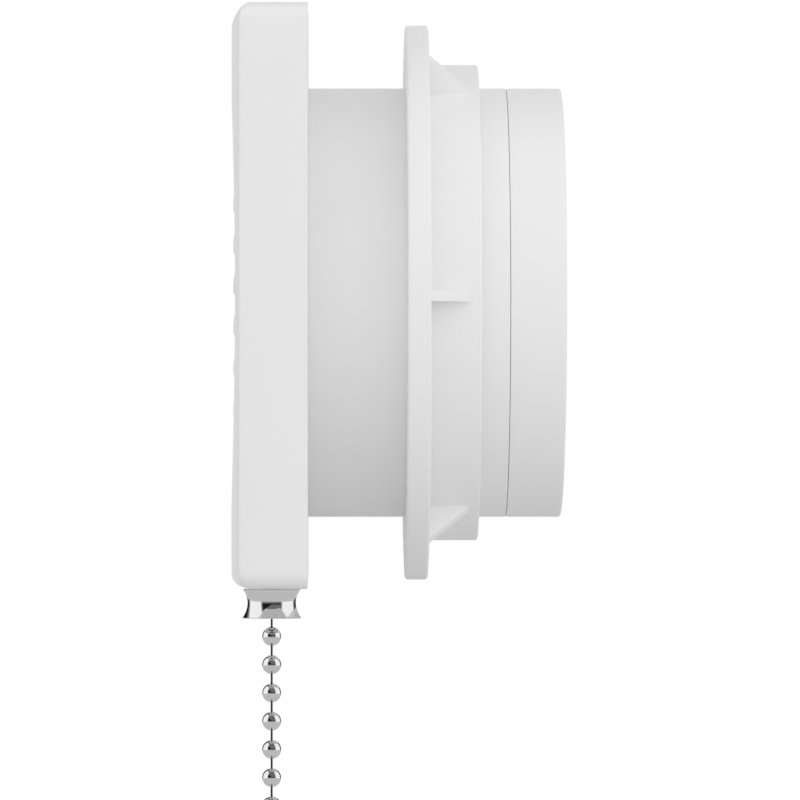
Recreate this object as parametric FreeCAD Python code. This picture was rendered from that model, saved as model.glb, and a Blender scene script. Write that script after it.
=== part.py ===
import FreeCAD, Part
import math
import os
from FreeCAD import Vector

# Square wall fan with a pull-cord switch in its lower corner. Millimetres.
# +Y runs along the duct away from the room, +Z is up, and the origin is on the duct axis in the
# wall plane, at the centre of the four wall screws.

# Fits and gaps
FIT = 0.05              # radial clearance of a running fit
SEAT = 0.10             # gap between a seated piece and its seat
GAP = 0.30              # gap between pieces that move past each other
PRESS = 0.02            # radial play of a pressed or clipped piece

# Front cover
cover_size = 131.0
cover_depth = 17.7      # wall plane to the crown of the front
crown_rise = 2.2        # how far the front bows out at its middle
cover_wall = 2.0
cover_corner_r = 4.0
cover_edge_r = 2.0
hook_width = 9.0
hook_reach = 1.5

# Front grille
grille_r = 48.5         # opening in the cover
grille_recess = 0.25
grille_rim = 2.0
grille_depth = 3.4      # crown to the back of the slats' rim
slat_pitch = 9.4
slat_thick = 2.6
slat_count = 10
slat_arch = 3.6         # rise of a slat's ends over its middle
slat_slope = 1.4
rib_x = 16.0
rib_width = 1.8

# Back plate
plate_thick = 2.0
lug_height = 6.0
lug_wall = 1.5
lug_thick = 1.2
wall_screw_x = 57.0     # half spacing of the wall screws
wall_screw_z = 20.0
wall_screw_r = 2.3

# Duct tube
tube_r = 49.5
tube_wall = 2.1
tube_front = -9.5
tube_rear = 45.45
tube_lip = 2.4

# Clamp flange, which slides along the tube
flange_r = 64.0
flange_thick = 5.2
flange_front = 22.3
collar_r = 54.9
collar_length = 11.5
collar_wall = 2.0
gusset_thick = 2.5
gusset_count = 6
flange_edge_r = 0.5

# Rear ring and non-return flaps
ring_front = 45.75
ring_rear = 58.2
ring_wall = 2.6
ring_lead = 0.9         # length of the slight taper at the ring's front edge
ring_lead_drop = 0.11
spigot_length = 5.0
spigot_wall = 1.6
seat_depth = 2.0
flap_thick = 1.0
flap_pin_r = 1.0
knuckle_r = 2.0
knuckle_count = 8
flap_spring_wire = 0.5

# Motor carrier and motor
cup_wall = 1.6
cup_play = 1.4          # between the core and the cup
cup_front = -8.5
cup_rear = 17.5
spoke_thick = 2.2
spoke_front = -7.0
spoke_rear = 9.0
carrier_ring_wall = 1.4
shaft_r = 2.0
shaft_front = -6.0
shaft_rear = 33.0
core_front = -1.5
core_rear = 10.5
core_wall = 4.0
shoe_thick = 2.2        # pole shoe
coil_room = 6.55        # pole shoe to the core's ring
pole_width = 13.0
rotor_r = 9.8
air_gap = 0.45
bush_r = 4.0
bush_length = 4.0
bearing_plate = 2.0
motor_screw_inset = 2.6 # core's outside to a motor screw's axis
motor_screw_r = 1.4
motor_screw_head_r = 2.4

# Impeller
hub_step = 0.6          # cup's radius less the hub's
hub_front = 18.6
hub_rear = 31.0
hub_wall = 1.6
blade_count = 7
blade_tip_gap = 1.2
blade_chord_root = 19.0
blade_chord_tip = 24.0
blade_angle_root = 48.0
blade_angle_tip = 30.0
blade_thick = 1.5
blade_centre = 25.6

# Pull switch
chain_x = 50.0
chain_back = 2.9        # drum's rear flange to the case's back
bead_r = 2.15
drum_x = 43.0
drum_z = -50.5
drum_flange = 0.8
drum_side_gap = 0.15
drum_core_gap = 0.15
drum_rim = 0.9
axle_r = 1.5
case_left = 33.7
case_right = 61.6
case_top = -40.0
case_bottom = -61.0
case_wall = 1.1
case_back = -2.2
lid_thick = 1.0
lid_gap = 0.30
lid_head_r = 1.6
lid_head_height = 0.5
lid_screw_r = 0.9
cam_x = 55.0
cam_z = -47.0
cam_r = 4.2
cam_flat = 3.15
contact_thick = 0.4

# Ferrule, chain and knob
bell_top_r = 6.5
bell_waist_r = 5.5
bell_mouth_r = 6.75
bell_waist_drop = 2.85
bell_height = 6.6
shank_r = 4.0
shank_height = 4.0      # cover's underside to the shank's top
nut_height = 1.5
chain_bore_r = 2.7
chain_bottom = -206.0
knob_r = 6.0
knob_length = 22.0

# Terminal block and cable entry
block_x = (-60.0, -40.0)
block_z = (-61.8, -50.8)
block_depth = 8.6
entry_x = -55.0
entry_z = -40.0
entry_r = 5.0
grommet_bore_r = 3.5
clamp_bar_z = -48.4
clamp_pillar = 1.4      # half width of a clamp pillar
clamp_screw_x = 5.0     # entry's axis to a clamp screw
block_screw_r = 1.2
block_head_r = 2.0
lead_r = 0.8
lead_offset = 2.6
lead_y = -4.6
lead_inset = 1.7        # block's end to the neutral lead's axis

# Worked out from the values above
core_r = rotor_r + air_gap + shoe_thick + coil_room + core_wall
cup_r = core_r + cup_play + cup_wall
hub_r = cup_r - hub_step
motor_screw_z = core_r - motor_screw_inset
drum_half = bead_r + drum_side_gap + drum_flange
chain_y = case_back - chain_back - drum_half
case_front = chain_y - drum_half - lid_gap - lid_thick

Y = Vector(0, 1, 0)
Z = Vector(0, 0, 1)
ORIGIN = Vector(0, 0, 0)


def cyl(r, y0, y1, x=0.0, z=0.0):
    """Cylinder along Y."""
    return Part.makeCylinder(r, y1 - y0, Vector(x, y0, z), Y)


def cyl_z(r, z0, z1, x=0.0, y=0.0):
    """Cylinder along Z."""
    return Part.makeCylinder(r, z1 - z0, Vector(x, y, z0), Z)


def pipe(r_out, r_in, y0, y1, x=0.0, z=0.0):
    return cyl(r_out, y0, y1, x, z).cut(cyl(r_in, y0 - 1, y1 + 1, x, z))


def block(x0, x1, y0, y1, z0, z1):
    return Part.makeBox(x1 - x0, y1 - y0, z1 - z0, Vector(x0, y0, z0))


def turned(points):
    """Solid of revolution about the duct axis from (radius, y) points."""
    face = Part.Face(Part.makePolygon([Vector(r, y, 0) for r, y in points + points[:1]]))
    return face.revolve(ORIGIN, Y, 360)


def about_y(shape, degrees, x=0.0, z=0.0):
    turned_copy = shape.copy()
    turned_copy.rotate(Vector(x, 0, z), Y, degrees)
    return turned_copy


def ring_of(shape, count, first=0.0):
    """The copies of a shape at equal angles about the duct axis."""
    return [about_y(shape, first + 360.0 * i / count) for i in range(count)]


def mirrored_x(shape):
    return shape.mirror(ORIGIN, Vector(1, 0, 0))


def group(shapes):
    return Part.makeCompound(shapes)


def fused(shapes):
    return shapes[0].multiFuse(shapes[1:]).removeSplitter()


def bent_wire(points, radius):
    """Round wire along straight runs joined by tangent arcs."""
    corners = [Vector(*p) for p in points]
    edges = []
    start = corners[0]
    for before, corner, after in zip(corners, corners[1:], corners[2:]):
        into = (corner - before).normalize()
        out = (after - corner).normalize()
        half_turn = into.getAngle(out) / 2
        reach = 0.45 * min((corner - before).Length, (after - corner).Length)
        first = corner - into * reach
        last = corner + out * reach
        bend = reach / math.tan(half_turn)
        inward = (out - into).normalize()
        centre = corner + inward * (bend / math.cos(half_turn))
        middle = centre - inward * bend
        edges.append(Part.LineSegment(start, first).toShape())
        edges.append(Part.Arc(first, middle, last).toShape())
        start = last
    edges.append(Part.LineSegment(start, corners[-1]).toShape())
    path = Part.Wire(edges)
    direction = corners[1] - corners[0]
    profile = Part.Wire([Part.makeCircle(radius, corners[0], direction)])
    return path.makePipeShell([profile], True, True)


def rounded_square(half, r, y0, y1):
    prism = block(-half, half, y0, y1, -half, half)
    edges = [e for e in prism.Edges if abs(e.tangentAt(e.FirstParameter).y) > 0.9]
    return prism.makeFillet(r, edges)


def crown_prism(half, front, rear):
    """Prism along Z whose front bows out by the crown's rise."""
    side = front + crown_rise
    arc = Part.Arc(Vector(-half, side, 0), Vector(0, front, 0), Vector(half, side, 0)).toShape()
    right = Part.LineSegment(Vector(half, side, 0), Vector(half, rear, 0)).toShape()
    back = Part.LineSegment(Vector(half, rear, 0), Vector(-half, rear, 0)).toShape()
    left = Part.LineSegment(Vector(-half, rear, 0), Vector(-half, side, 0)).toShape()
    face = Part.Face(Part.Wire([arc, right, back, left]))
    face.translate(Vector(0, 0, -half))
    return face.extrude(Vector(0, 0, 2 * half))


# ---- cover and grille ----

def cover_shell():
    half = cover_size / 2
    rear = -SEAT
    outer = crown_prism(half, -cover_depth, rear).common(
        rounded_square(half, cover_corner_r, -cover_depth - 1, rear))
    front_edges = [e for e in outer.Edges if e.BoundBox.YMax < -cover_depth + crown_rise + 0.5]
    outer = outer.makeFillet(cover_edge_r, front_edges)
    inner_half = half - cover_wall
    cavity = crown_prism(inner_half, -cover_depth + cover_wall, 1).common(
        rounded_square(inner_half, cover_corner_r - cover_wall, -cover_depth, 1))
    return outer.cut(cavity)


def cover_hook():
    """One snap hook on the right wall, behind the plate's lug."""
    inner = cover_size / 2 - cover_wall
    front = -lug_height + lug_thick + 0.2
    return block(inner - hook_reach, inner + 0.5, front, front + 1.4, -hook_width / 2, hook_width / 2)


def front_cover():
    shell = cover_shell()
    shell = shell.cut(cyl(grille_r, -cover_depth - 1, -cover_depth + crown_rise + cover_wall + 1))
    bore = cyl_z(shank_r + SEAT, -cover_size / 2 - 1, -cover_size / 2 + cover_wall + 1, chain_x, chain_y)
    return fused([shell.cut(bore)] + ring_of(cover_hook(), 4))


def slat(z):
    """One louvre: a bar arched upwards at its ends and sloped down to the room."""
    reach = grille_r + 2
    rise = slat_arch * (reach / grille_r) ** 2
    front = -cover_depth - 1
    low = Part.Arc(Vector(-reach, front, z + rise), Vector(0, front, z), Vector(reach, front, z + rise))
    up = slat_thick
    high = Part.Arc(Vector(-reach, front, z + rise + up), Vector(0, front, z + up),
                    Vector(reach, front, z + rise + up))
    ends = [Part.LineSegment(Vector(s * reach, front, z + rise), Vector(s * reach, front, z + rise + up))
            for s in (-1, 1)]
    wire = Part.Wire(Part.__sortEdges__([low.toShape(), high.toShape()] + [e.toShape() for e in ends]))
    return Part.Face(wire).extrude(Vector(0, grille_depth + 3, slat_slope * (grille_depth + 3) / 4))


def front_grille():
    """Round louvred insert, held by a flange behind the cover's wall."""
    outer_r = grille_r - SEAT
    front = -cover_depth + grille_recess
    back = -cover_depth + crown_rise + cover_wall + SEAT
    skin = crown_prism(cover_size / 2, front, back + 1)
    depth_limit = cyl(grille_r + 1, front - 1, back)
    first = -slat_pitch * (slat_count - 1) / 2 - slat_thick / 2 - slat_arch / 2
    slats = [slat(first + slat_pitch * i) for i in range(slat_count)]
    bars = fused(slats).common(cyl(outer_r - grille_rim / 2, front - 1, back)).common(skin)
    rim = pipe(outer_r, outer_r - grille_rim, front - 1, back + 1.2).common(skin)
    flange = pipe(grille_r + 2.2, outer_r - grille_rim, back, back + 1.2)
    ribs = [block(x - rib_width / 2, x + rib_width / 2, back - 1.2, back + 1.2, -grille_r, grille_r)
            for x in (-rib_x, rib_x)]
    ribs = fused(ribs).common(cyl(outer_r - grille_rim / 2, back - 2, back + 2))
    return fused([bars.common(depth_limit), rim, flange, ribs])


# ---- housing ----

def plate_half():
    return cover_size / 2 - cover_wall - 0.5


def back_plate():
    """Square plate with a snap lug at the middle of each side."""
    half = plate_half()
    post_x = cover_size / 2 - cover_wall - hook_reach - 0.6
    plate = rounded_square(half, 2.0, -plate_thick, 0)
    post = block(post_x - lug_wall, post_x, -lug_height, -plate_thick + 0.2,
                 -hook_width / 2 - 1, hook_width / 2 + 1)
    lug = block(post_x - 0.2, half - 0.3, -lug_height, -lug_height + lug_thick,
                -hook_width / 2, hook_width / 2)
    body = fused([plate] + ring_of(fused([post, lug]), 4))
    body = body.cut(cyl(tube_r + FIT, -lug_height - 1, 1))
    holes = [cyl(wall_screw_r, -plate_thick - 1, 1, sx * wall_screw_x, sz * wall_screw_z)
             for sx in (-1, 1) for sz in (-1, 1)]
    holes.append(cyl(entry_r, -plate_thick - 1, 1, entry_x, entry_z))
    middle_x, middle_z = block_middle()
    holes.append(cyl(block_screw_r + SEAT, -plate_thick - 1, 1, middle_x, middle_z))
    return body.cut(group(holes))


def duct_tube():
    bore = tube_r - tube_wall
    wall = turned([(bore, tube_front + 1.2), (bore + 1.2, tube_front), (tube_r + tube_lip, tube_front),
                   (tube_r + tube_lip, tube_front + 1.4), (tube_r, tube_front + 1.4),
                   (tube_r, tube_rear), (bore, tube_rear)])
    return wall.cut(group(lead_holes()))


def lead_line(side, r_near, r_far):
    """Two points of the straight run of a motor lead beside a lower spoke."""
    along = Vector(side * math.sqrt(0.5), 0, -math.sqrt(0.5))
    across = Vector(side * math.sqrt(0.5), 0, math.sqrt(0.5)) * lead_offset
    level = Vector(0, lead_y, 0)
    return along * r_far + across + level, along * r_near + across + level


def lead_holes():
    holes = []
    for side in (-1, 1):
        far, near = lead_line(side, cup_r - 4, tube_r + 4)
        holes.append(Part.makeCylinder(lead_r + 0.4, (near - far).Length, far, near - far))
    return holes


def motor_carrier():
    """Motor cup on four spokes, in a ring that seats in the tube."""
    seat_r = tube_r - tube_wall - FIT
    cup = pipe(cup_r, cup_r - cup_wall, cup_front, cup_rear)
    floor = pipe(cup_r - cup_wall / 2, bush_r + 1.2, cup_rear - 2.0, cup_rear)
    ring = pipe(seat_r, seat_r - carrier_ring_wall, spoke_front, spoke_rear)
    spoke = block(cup_r - cup_wall / 2, seat_r - carrier_ring_wall / 2, spoke_front, spoke_rear,
                  -spoke_thick / 2, spoke_thick / 2)
    body = fused([cup, floor, ring] + ring_of(spoke, 4, 45))
    return body.cut(group(lead_holes() + motor_screw_holes(cup_rear - 3, cup_rear + 1)))


def clamp_flange():
    """Sliding disc with a stiffening collar and gussets behind it."""
    bore = tube_r + FIT
    rear = flange_front + flange_thick
    disc = pipe(flange_r, bore, flange_front, rear)
    rims = [e for e in disc.Edges if abs(e.BoundBox.XLength - 2 * flange_r) < 0.01 and e.Length > 100]
    disc = disc.makeFillet(flange_edge_r, [e for e in rims if e.BoundBox.YLength < 0.01])
    collar_rear = rear + collar_length
    collar = pipe(collar_r, collar_r - collar_wall, rear - 0.5, collar_rear)
    web = pipe(collar_r - collar_wall / 2, bore, collar_rear - collar_wall, collar_rear)
    reach = flange_r - collar_r
    corners = [Vector(collar_r - 0.4, rear - 0.4, 0), Vector(flange_r - 0.1, rear - 0.4, 0),
               Vector(flange_r - 0.1, rear, 0), Vector(collar_r, rear + reach, 0),
               Vector(collar_r - 0.4, rear + reach, 0)]
    face = Part.Face(Part.makePolygon(corners + corners[:1]))
    gusset = face.extrude(Vector(0, 0, gusset_thick))
    gusset.translate(Vector(0, 0, -gusset_thick / 2))
    return fused([disc, collar, web] + ring_of(gusset, gusset_count))


# ---- rear ring and flaps ----

def pin_y():
    return ring_front + seat_depth + knuckle_r + 1.4


def ring_bore():
    return tube_r - ring_wall


def rear_ring():
    """Ring that plugs into the tube, with a seat for the flaps and holes for their pin."""
    bore = ring_bore()
    spigot_r = tube_r - tube_wall - FIT
    outer = turned([(bore, ring_front), (tube_r - ring_lead_drop, ring_front),
                    (tube_r, ring_front + ring_lead), (tube_r, ring_rear), (bore, ring_rear)])
    spigot = pipe(spigot_r, spigot_r - spigot_wall, ring_front - spigot_length, ring_front + 0.6)
    seat = pipe(bore + 0.5, bore - 2.4, ring_front, ring_front + seat_depth)
    bar = block(-1.6, 1.6, ring_front, ring_front + seat_depth, -bore - 0.4, bore + 0.4)
    body = fused([outer, spigot, seat, bar])
    return body.cut(cyl_z(flap_pin_r, -flap_pin_half(), flap_pin_half(), 0, pin_y()))


def flap_pin_half():
    return tube_r - ring_wall / 2


def damper_pin():
    return cyl_z(flap_pin_r - PRESS, -flap_pin_half() + SEAT, flap_pin_half() - SEAT, 0, pin_y())


def damper_flap(side):
    """Half-round leaf with every second knuckle on the pin."""
    y = pin_y()
    radius = ring_bore() - 0.8
    leaf_front = ring_front + seat_depth + SEAT
    leaf = cyl(radius, leaf_front, leaf_front + flap_thick)
    leaf = leaf.common(block(0.5, radius + 1, leaf_front - 1, leaf_front + 3, -radius, radius))
    rib = block(0.6, radius * 0.78, leaf_front, leaf_front + 1.9, -0.7, 0.7)
    span = 2 * (radius - 4.0) / knuckle_count
    first = 0 if side > 0 else 1
    leaf_parts = [leaf] + [rib.translated(Vector(0, 0, z)) for z in (-radius * 0.45, radius * 0.45)]
    for i in range(first, knuckle_count, 2):
        low = -radius + 4.0 + i * span + GAP / 2
        high = low + span - GAP
        leaf_parts.append(cyl_z(knuckle_r, low, high, 0, y))
        leaf_parts.append(block(0, 2.6, leaf_front, y, low, high))
    other = group([cyl_z(knuckle_r + GAP, -radius + 4.0 + i * span - GAP / 2,
                         -radius + 4.0 + (i + 1) * span + GAP / 2, 0, y)
                   for i in range(1 - first, knuckle_count, 2)])
    body = fused(leaf_parts).cut(other)
    body = body.cut(cyl_z(flap_pin_r + FIT, -radius, radius, 0, y))
    return body if side > 0 else mirrored_x(body)


def coil_spring(radius, wire, turns, axis_point, along_z=False):
    """Close-wound spring as rings that touch."""
    rings = []
    for i in range(turns):
        offset = (i - (turns - 1) / 2) * wire * 1.9
        centre = axis_point + (Z if along_z else Y) * offset
        rings.append(Part.makeTorus(radius, wire, centre, Z if along_z else Y))
    return rings


def damper_spring(side):
    """Torsion spring at one end of the flap pin, with a leg on its flap."""
    z = side * (ring_bore() - 2.9)
    wire = flap_spring_wire / 2
    radius = flap_pin_r + GAP + wire
    y = pin_y()
    rings = coil_spring(radius, wire, 4, Vector(0, y, z), True)
    leg = Part.makeCylinder(wire, 9.0, Vector(0, y - radius, z), Vector(side, 0, 0))
    return fused(rings + [leg])


# ---- impeller ----

def blade_section(radius, chord, angle):
    """Closed outline of a cambered blade in the plane at one radius."""
    lean = math.radians(angle)
    along = Vector(0, math.sin(lean), math.cos(lean))
    normal = Vector(0, math.cos(lean), -math.sin(lean))
    centre = Vector(radius, blade_centre, 0)
    camber = 0.09 * chord
    nose = centre - along * (chord / 2)
    tail = centre + along * (chord / 2)
    upper = Part.Arc(nose, centre + normal * (camber + blade_thick / 2), tail).toShape()
    edge = normal * 0.35
    lower = Part.Arc(tail - edge, centre + normal * (camber - blade_thick / 2), nose - edge).toShape()
    close_tail = Part.LineSegment(tail, tail - edge).toShape()
    close_nose = Part.LineSegment(nose - edge, nose).toShape()
    return Part.Wire([upper, close_tail, lower, close_nose])


def blade():
    tip_r = tube_r - tube_wall - blade_tip_gap
    stations = [(hub_r - 4.0, 0.0), ((hub_r + tip_r) / 2, 0.5), (tip_r + 3.0, 1.0)]
    sections = []
    for radius, share in stations:
        chord = blade_chord_root + share * (blade_chord_tip - blade_chord_root)
        angle = blade_angle_root + share * (blade_angle_tip - blade_angle_root)
        sections.append(blade_section(radius, chord, angle))
    body = Part.makeLoft(sections, True, False)
    keep = pipe(tip_r, hub_r - hub_wall / 2, blade_centre - 12, blade_centre + 12)
    return body.common(keep)


def impeller():
    """Cup hub on the shaft with curved blades."""
    shell = turned([(0, hub_rear), (hub_r - 6, hub_rear), (hub_r - 2, hub_rear - 1.6),
                    (hub_r, hub_rear - 5), (hub_r, hub_front), (hub_r - hub_wall, hub_front),
                    (hub_r - hub_wall, hub_rear - 5), (hub_r - 6, hub_rear - hub_wall),
                    (0, hub_rear - hub_wall)])
    boss = cyl(5.0, hub_front + 3.0, hub_rear - hub_wall / 2)
    ribs = [block(4.0, hub_r - hub_wall / 2, hub_rear - 6.5, hub_rear - 1.2, -0.7, 0.7)]
    ribs = [about_y(ribs[0], 60.0 * i) for i in range(6)]
    cavity_limit = turned([(0, hub_rear - 0.4), (hub_r - 5.5, hub_rear - 0.4),
                           (hub_r - 0.8, hub_rear - 5), (hub_r - 0.8, hub_front),
                           (0, hub_front)])
    ribs = [r.common(cavity_limit) for r in ribs]
    body = fused([shell, boss] + ribs + ring_of(blade(), blade_count))
    return body.cut(cyl(shaft_r + PRESS, hub_front, hub_rear + 1))


def impeller_nut():
    hexagon = Part.makePolygon([Vector(3.4 * math.cos(math.radians(a)), hub_rear,
                                       3.4 * math.sin(math.radians(a))) for a in range(0, 361, 60)])
    nut = Part.Face(hexagon).extrude(Vector(0, 1.6, 0))
    return nut.cut(cyl(shaft_r, hub_rear - 1, hub_rear + 3))


# ---- motor ----

def motor_screw_holes(y0, y1):
    return [cyl(motor_screw_r + SEAT, y0, y1, 0, s * motor_screw_z) for s in (-1, 1)]


def stator_core():
    """Laminated ring with two salient poles."""
    ring = pipe(core_r, core_r - core_wall, core_front, core_rear)
    pole = block(rotor_r, core_r - 1, core_front, core_rear, -pole_width / 2, pole_width / 2)
    shoe_r = rotor_r + air_gap + shoe_thick
    shoe = pipe(shoe_r, rotor_r, core_front, core_rear)
    wedge = block(0, shoe_r + 1, core_front - 1, core_rear + 1, -shoe_r * 0.85, shoe_r * 0.85)
    shoe = shoe.common(wedge)
    body = fused([ring, pole, mirrored_x(pole), shoe, mirrored_x(shoe)])
    bores = motor_screw_holes(core_front - 1, core_rear + 1)
    return body.cut(group([cyl(rotor_r + air_gap, core_front - 1, core_rear + 1)] + bores))


def around_pole(inset_out, inset_in, x0, x1):
    """Rectangular frame round a pole, between two distances from it."""
    half = pole_width / 2
    outer = block(x0, x1, core_front - inset_out, core_rear + inset_out,
                  -half - inset_out, half + inset_out)
    inner = block(x0 - 1, x1 + 1, core_front - inset_in, core_rear + inset_in,
                  -half - inset_in, half + inset_in)
    return outer.cut(inner)


def coil_span():
    return rotor_r + air_gap + shoe_thick + SEAT, core_r - core_wall - 0.6


def limited_to_core(shape):
    return shape.common(cyl(core_r - core_wall - SEAT, core_front - 9, core_rear + 9))


def coil_bobbins():
    x0, x1 = coil_span()
    tube_part = around_pole(0.9, SEAT, x0, x1)
    flange_in = around_pole(3.0, SEAT, x0, x0 + 0.7)
    flange_out = around_pole(3.0, SEAT, x1 - 0.7, x1)
    one = limited_to_core(fused([tube_part, flange_in, flange_out]))
    return group([one, mirrored_x(one)])


def windings():
    x0, x1 = coil_span()
    one = limited_to_core(around_pole(2.8, 0.9 + PRESS, x0 + 0.72, x1 - 0.72))
    return group([one, mirrored_x(one)])


def rotor():
    drum = pipe(rotor_r, shaft_r, core_front - 0.5, core_rear + 0.5)
    return drum


def shaft():
    return cyl(shaft_r, shaft_front, shaft_rear)


def thrust_washers():
    front = pipe(shaft_r + 1.2, shaft_r, front_bush_y() + bush_length + SEAT, core_front - 0.5 - SEAT)
    rear = pipe(shaft_r + 1.2, shaft_r, core_rear + 0.5 + SEAT, rear_bush_y() - SEAT)
    return group([front, rear])


def bush(y0):
    return pipe(bush_r, shaft_r + FIT, y0, y0 + bush_length)


def front_bush_y():
    return core_front - 3.6 - bush_length + 1.2


def rear_bush_y():
    return cup_rear - bush_length


def bearing_bridge(y0, bush_y):
    """Bridge across the core with a seat for the bush."""
    bar = block(-6.0, 6.0, y0, y0 + bearing_plate, -core_r + 0.4, core_r - 0.4)
    hub = cyl(bush_r + 1.1, min(y0, bush_y), max(y0 + bearing_plate, bush_y + bush_length))
    body = fused([bar.common(cyl(core_r, y0 - 1, y0 + 4)), hub])
    holes = motor_screw_holes(y0 - 1, y0 + 4)
    return body.cut(group([cyl(bush_r, bush_y - 9, bush_y + 19)] + holes))


def front_bridge_y():
    return core_front - 5.0


def rear_bridge_y():
    return core_rear + 3.0


def spacers():
    """Posts that hold each bridge clear of the windings."""
    posts = []
    for s in (-1, 1):
        for y0, y1 in ((front_bridge_y() + bearing_plate, core_front), (core_rear, rear_bridge_y())):
            posts.append(pipe(motor_screw_head_r, motor_screw_r + SEAT, y0, y1, 0, s * motor_screw_z))
    return group(posts)


def motor_screws():
    """Two long screws that clamp the bridges on the core and hold the motor."""
    screws = []
    for s in (-1, 1):
        z = s * motor_screw_z
        head_y = front_bridge_y()
        stem = cyl(motor_screw_r, head_y, rear_bridge_y() + bearing_plate + 1.0, 0, z)
        head = cyl(motor_screw_head_r, head_y - 1.3, head_y, 0, z)
        slot = block(-2.6, 2.6, head_y - 1.4, head_y - 0.8, z - 0.35, z + 0.35)
        screws.append(fused([stem, head]).cut(slot))
    return group(screws)


def motor_cap():
    """Domed cap that closes the room side of the motor cup."""
    y = cup_front
    r = cup_r
    dome = turned([(0, y - 2.2), (r - 9, y - 1.8), (r - 2.5, y - 1.0), (r, y + 0.4 - SEAT), (r, y),
                   (0, y)])
    skirt = pipe(cup_r - cup_wall - FIT, cup_r - cup_wall - 1.4, y - 0.5, y + 1.2)
    return fused([dome, skirt])


# ---- pull switch ----

def drum_core_r():
    return chain_x - drum_x - bead_r - drum_core_gap


def drum_r():
    return chain_x - drum_x + drum_rim


def case_inner():
    return (case_left + case_wall, case_right - case_wall, case_bottom + case_wall, case_top - case_wall)


def switch_case():
    """Box open to the room, with posts for the two axles."""
    shell = block(case_left, case_right, case_front + lid_thick, case_back, case_bottom, case_top)
    x0, x1, z0, z1 = case_inner()
    shell = shell.cut(block(x0, x1, case_front, case_back - case_wall, z0, z1))
    posts = [cyl(axle_r + 0.9, case_back - case_wall - 0.6, case_back - case_wall + 0.2, x, z)
             for x, z in ((drum_x, drum_z), (cam_x, cam_z))]
    body = fused([shell] + posts)
    axles = [cyl(axle_r, case_back - case_wall - 2, case_back - 0.4, x, z)
             for x, z in ((drum_x, drum_z), (cam_x, cam_z))]
    chain_hole = cyl_z(chain_bore_r, case_bottom - 1, case_bottom + case_wall + 0.5, chain_x, chain_y)
    return body.cut(group(axles + [chain_hole]))


def switch_lid():
    """Lid with a sunk seat for each screw's head."""
    plate = block(case_left, case_right, case_front, case_front + lid_thick - PRESS, case_bottom, case_top)
    holes = [cyl(lid_screw_r, case_front - 1, case_front + 2, x, z) for x, z in lid_screw_places()]
    seats = [cyl(lid_head_r + SEAT, case_front - 1, case_front + lid_head_height, x, z)
             for x, z in lid_screw_places()]
    return plate.cut(group(holes + seats))


def lid_screw_places():
    return ((case_left + 2.0, case_bottom + 2.0), (case_right - 2.0, case_bottom + 2.0))


def lid_screws():
    screws = []
    for x, z in lid_screw_places():
        stem = cyl(lid_screw_r - PRESS, case_front + 0.1, case_front + 5.0, x, z)
        head = cyl(lid_head_r, case_front, case_front + lid_head_height - PRESS, x, z)
        screws.append(fused([stem, head]))
    return group(screws)


def lid_screw_posts():
    posts = []
    for x, z in lid_screw_places():
        post = pipe(1.9, lid_screw_r, case_front + lid_thick, case_back - case_wall + 0.2, x, z)
        posts.append(post)
    return posts


def axle(x, z):
    return cyl(axle_r - PRESS, case_front + lid_thick + SEAT, case_back - 0.5, x, z)


def pull_drum():
    """Spool that the chain winds on, with a pawl arm towards the cam."""
    front = chain_y - drum_half
    rear = chain_y + drum_half
    core = cyl(drum_core_r(), front, rear, drum_x, drum_z)
    discs = [cyl(drum_r(), y, y + drum_flange, drum_x, drum_z) for y in (front, rear - drum_flange)]
    body = fused([core] + discs)
    return body.cut(cyl(axle_r + FIT, front - 1, rear + 1, drum_x, drum_z))


def drum_spring():
    """Return spring round the axle, between the drum and the case."""
    rear = chain_y + drum_half
    room = case_back - case_wall - 0.6 - rear
    wire = room / 6
    centre = Vector(drum_x, rear + room / 2, drum_z)
    return fused(coil_spring(axle_r + 0.9, wire, 2, centre))


def contact_cam():
    """Four-sided cam that opens and closes the contacts a quarter turn at a time."""
    y0 = case_front + lid_thick + 0.8
    y1 = case_back - case_wall - 0.9
    square = block(cam_x - cam_flat, cam_x + cam_flat, y0, y1, cam_z - cam_flat, cam_z + cam_flat)
    body = square.common(cyl(cam_r, y0, y1, cam_x, cam_z))
    return body.cut(cyl(axle_r + FIT, y0 - 1, y1 + 1, cam_x, cam_z))


def switch_contacts():
    """Two brass leaves beside the cam."""
    x0, x1, z0, z1 = case_inner()
    right = block(x1 - contact_thick - SEAT, x1 - SEAT, -10.5, -5.0, cam_z - 8.0, cam_z + 3.0)
    foot = block(x1 - 3.2, x1 - SEAT, -10.5, -5.0, cam_z - 8.0 - contact_thick, cam_z - 8.0)
    top = block(cam_x - 7.0, cam_x + 2.5, -10.5, -5.0, z1 - contact_thick - SEAT, z1 - SEAT)
    tail = block(cam_x - 7.0 - contact_thick, cam_x - 7.0, -10.5, -5.0, z1 - 3.0, z1 - SEAT)
    return group([fused([right, foot]), fused([top, tail])])


# ---- ferrule, chain and knob ----

def ferrule_bore(z0, z1):
    return cyl_z(chain_bore_r, z0, z1, chain_x, chain_y)


def bell_bottom():
    return -cover_size / 2 - SEAT - bell_height


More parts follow.
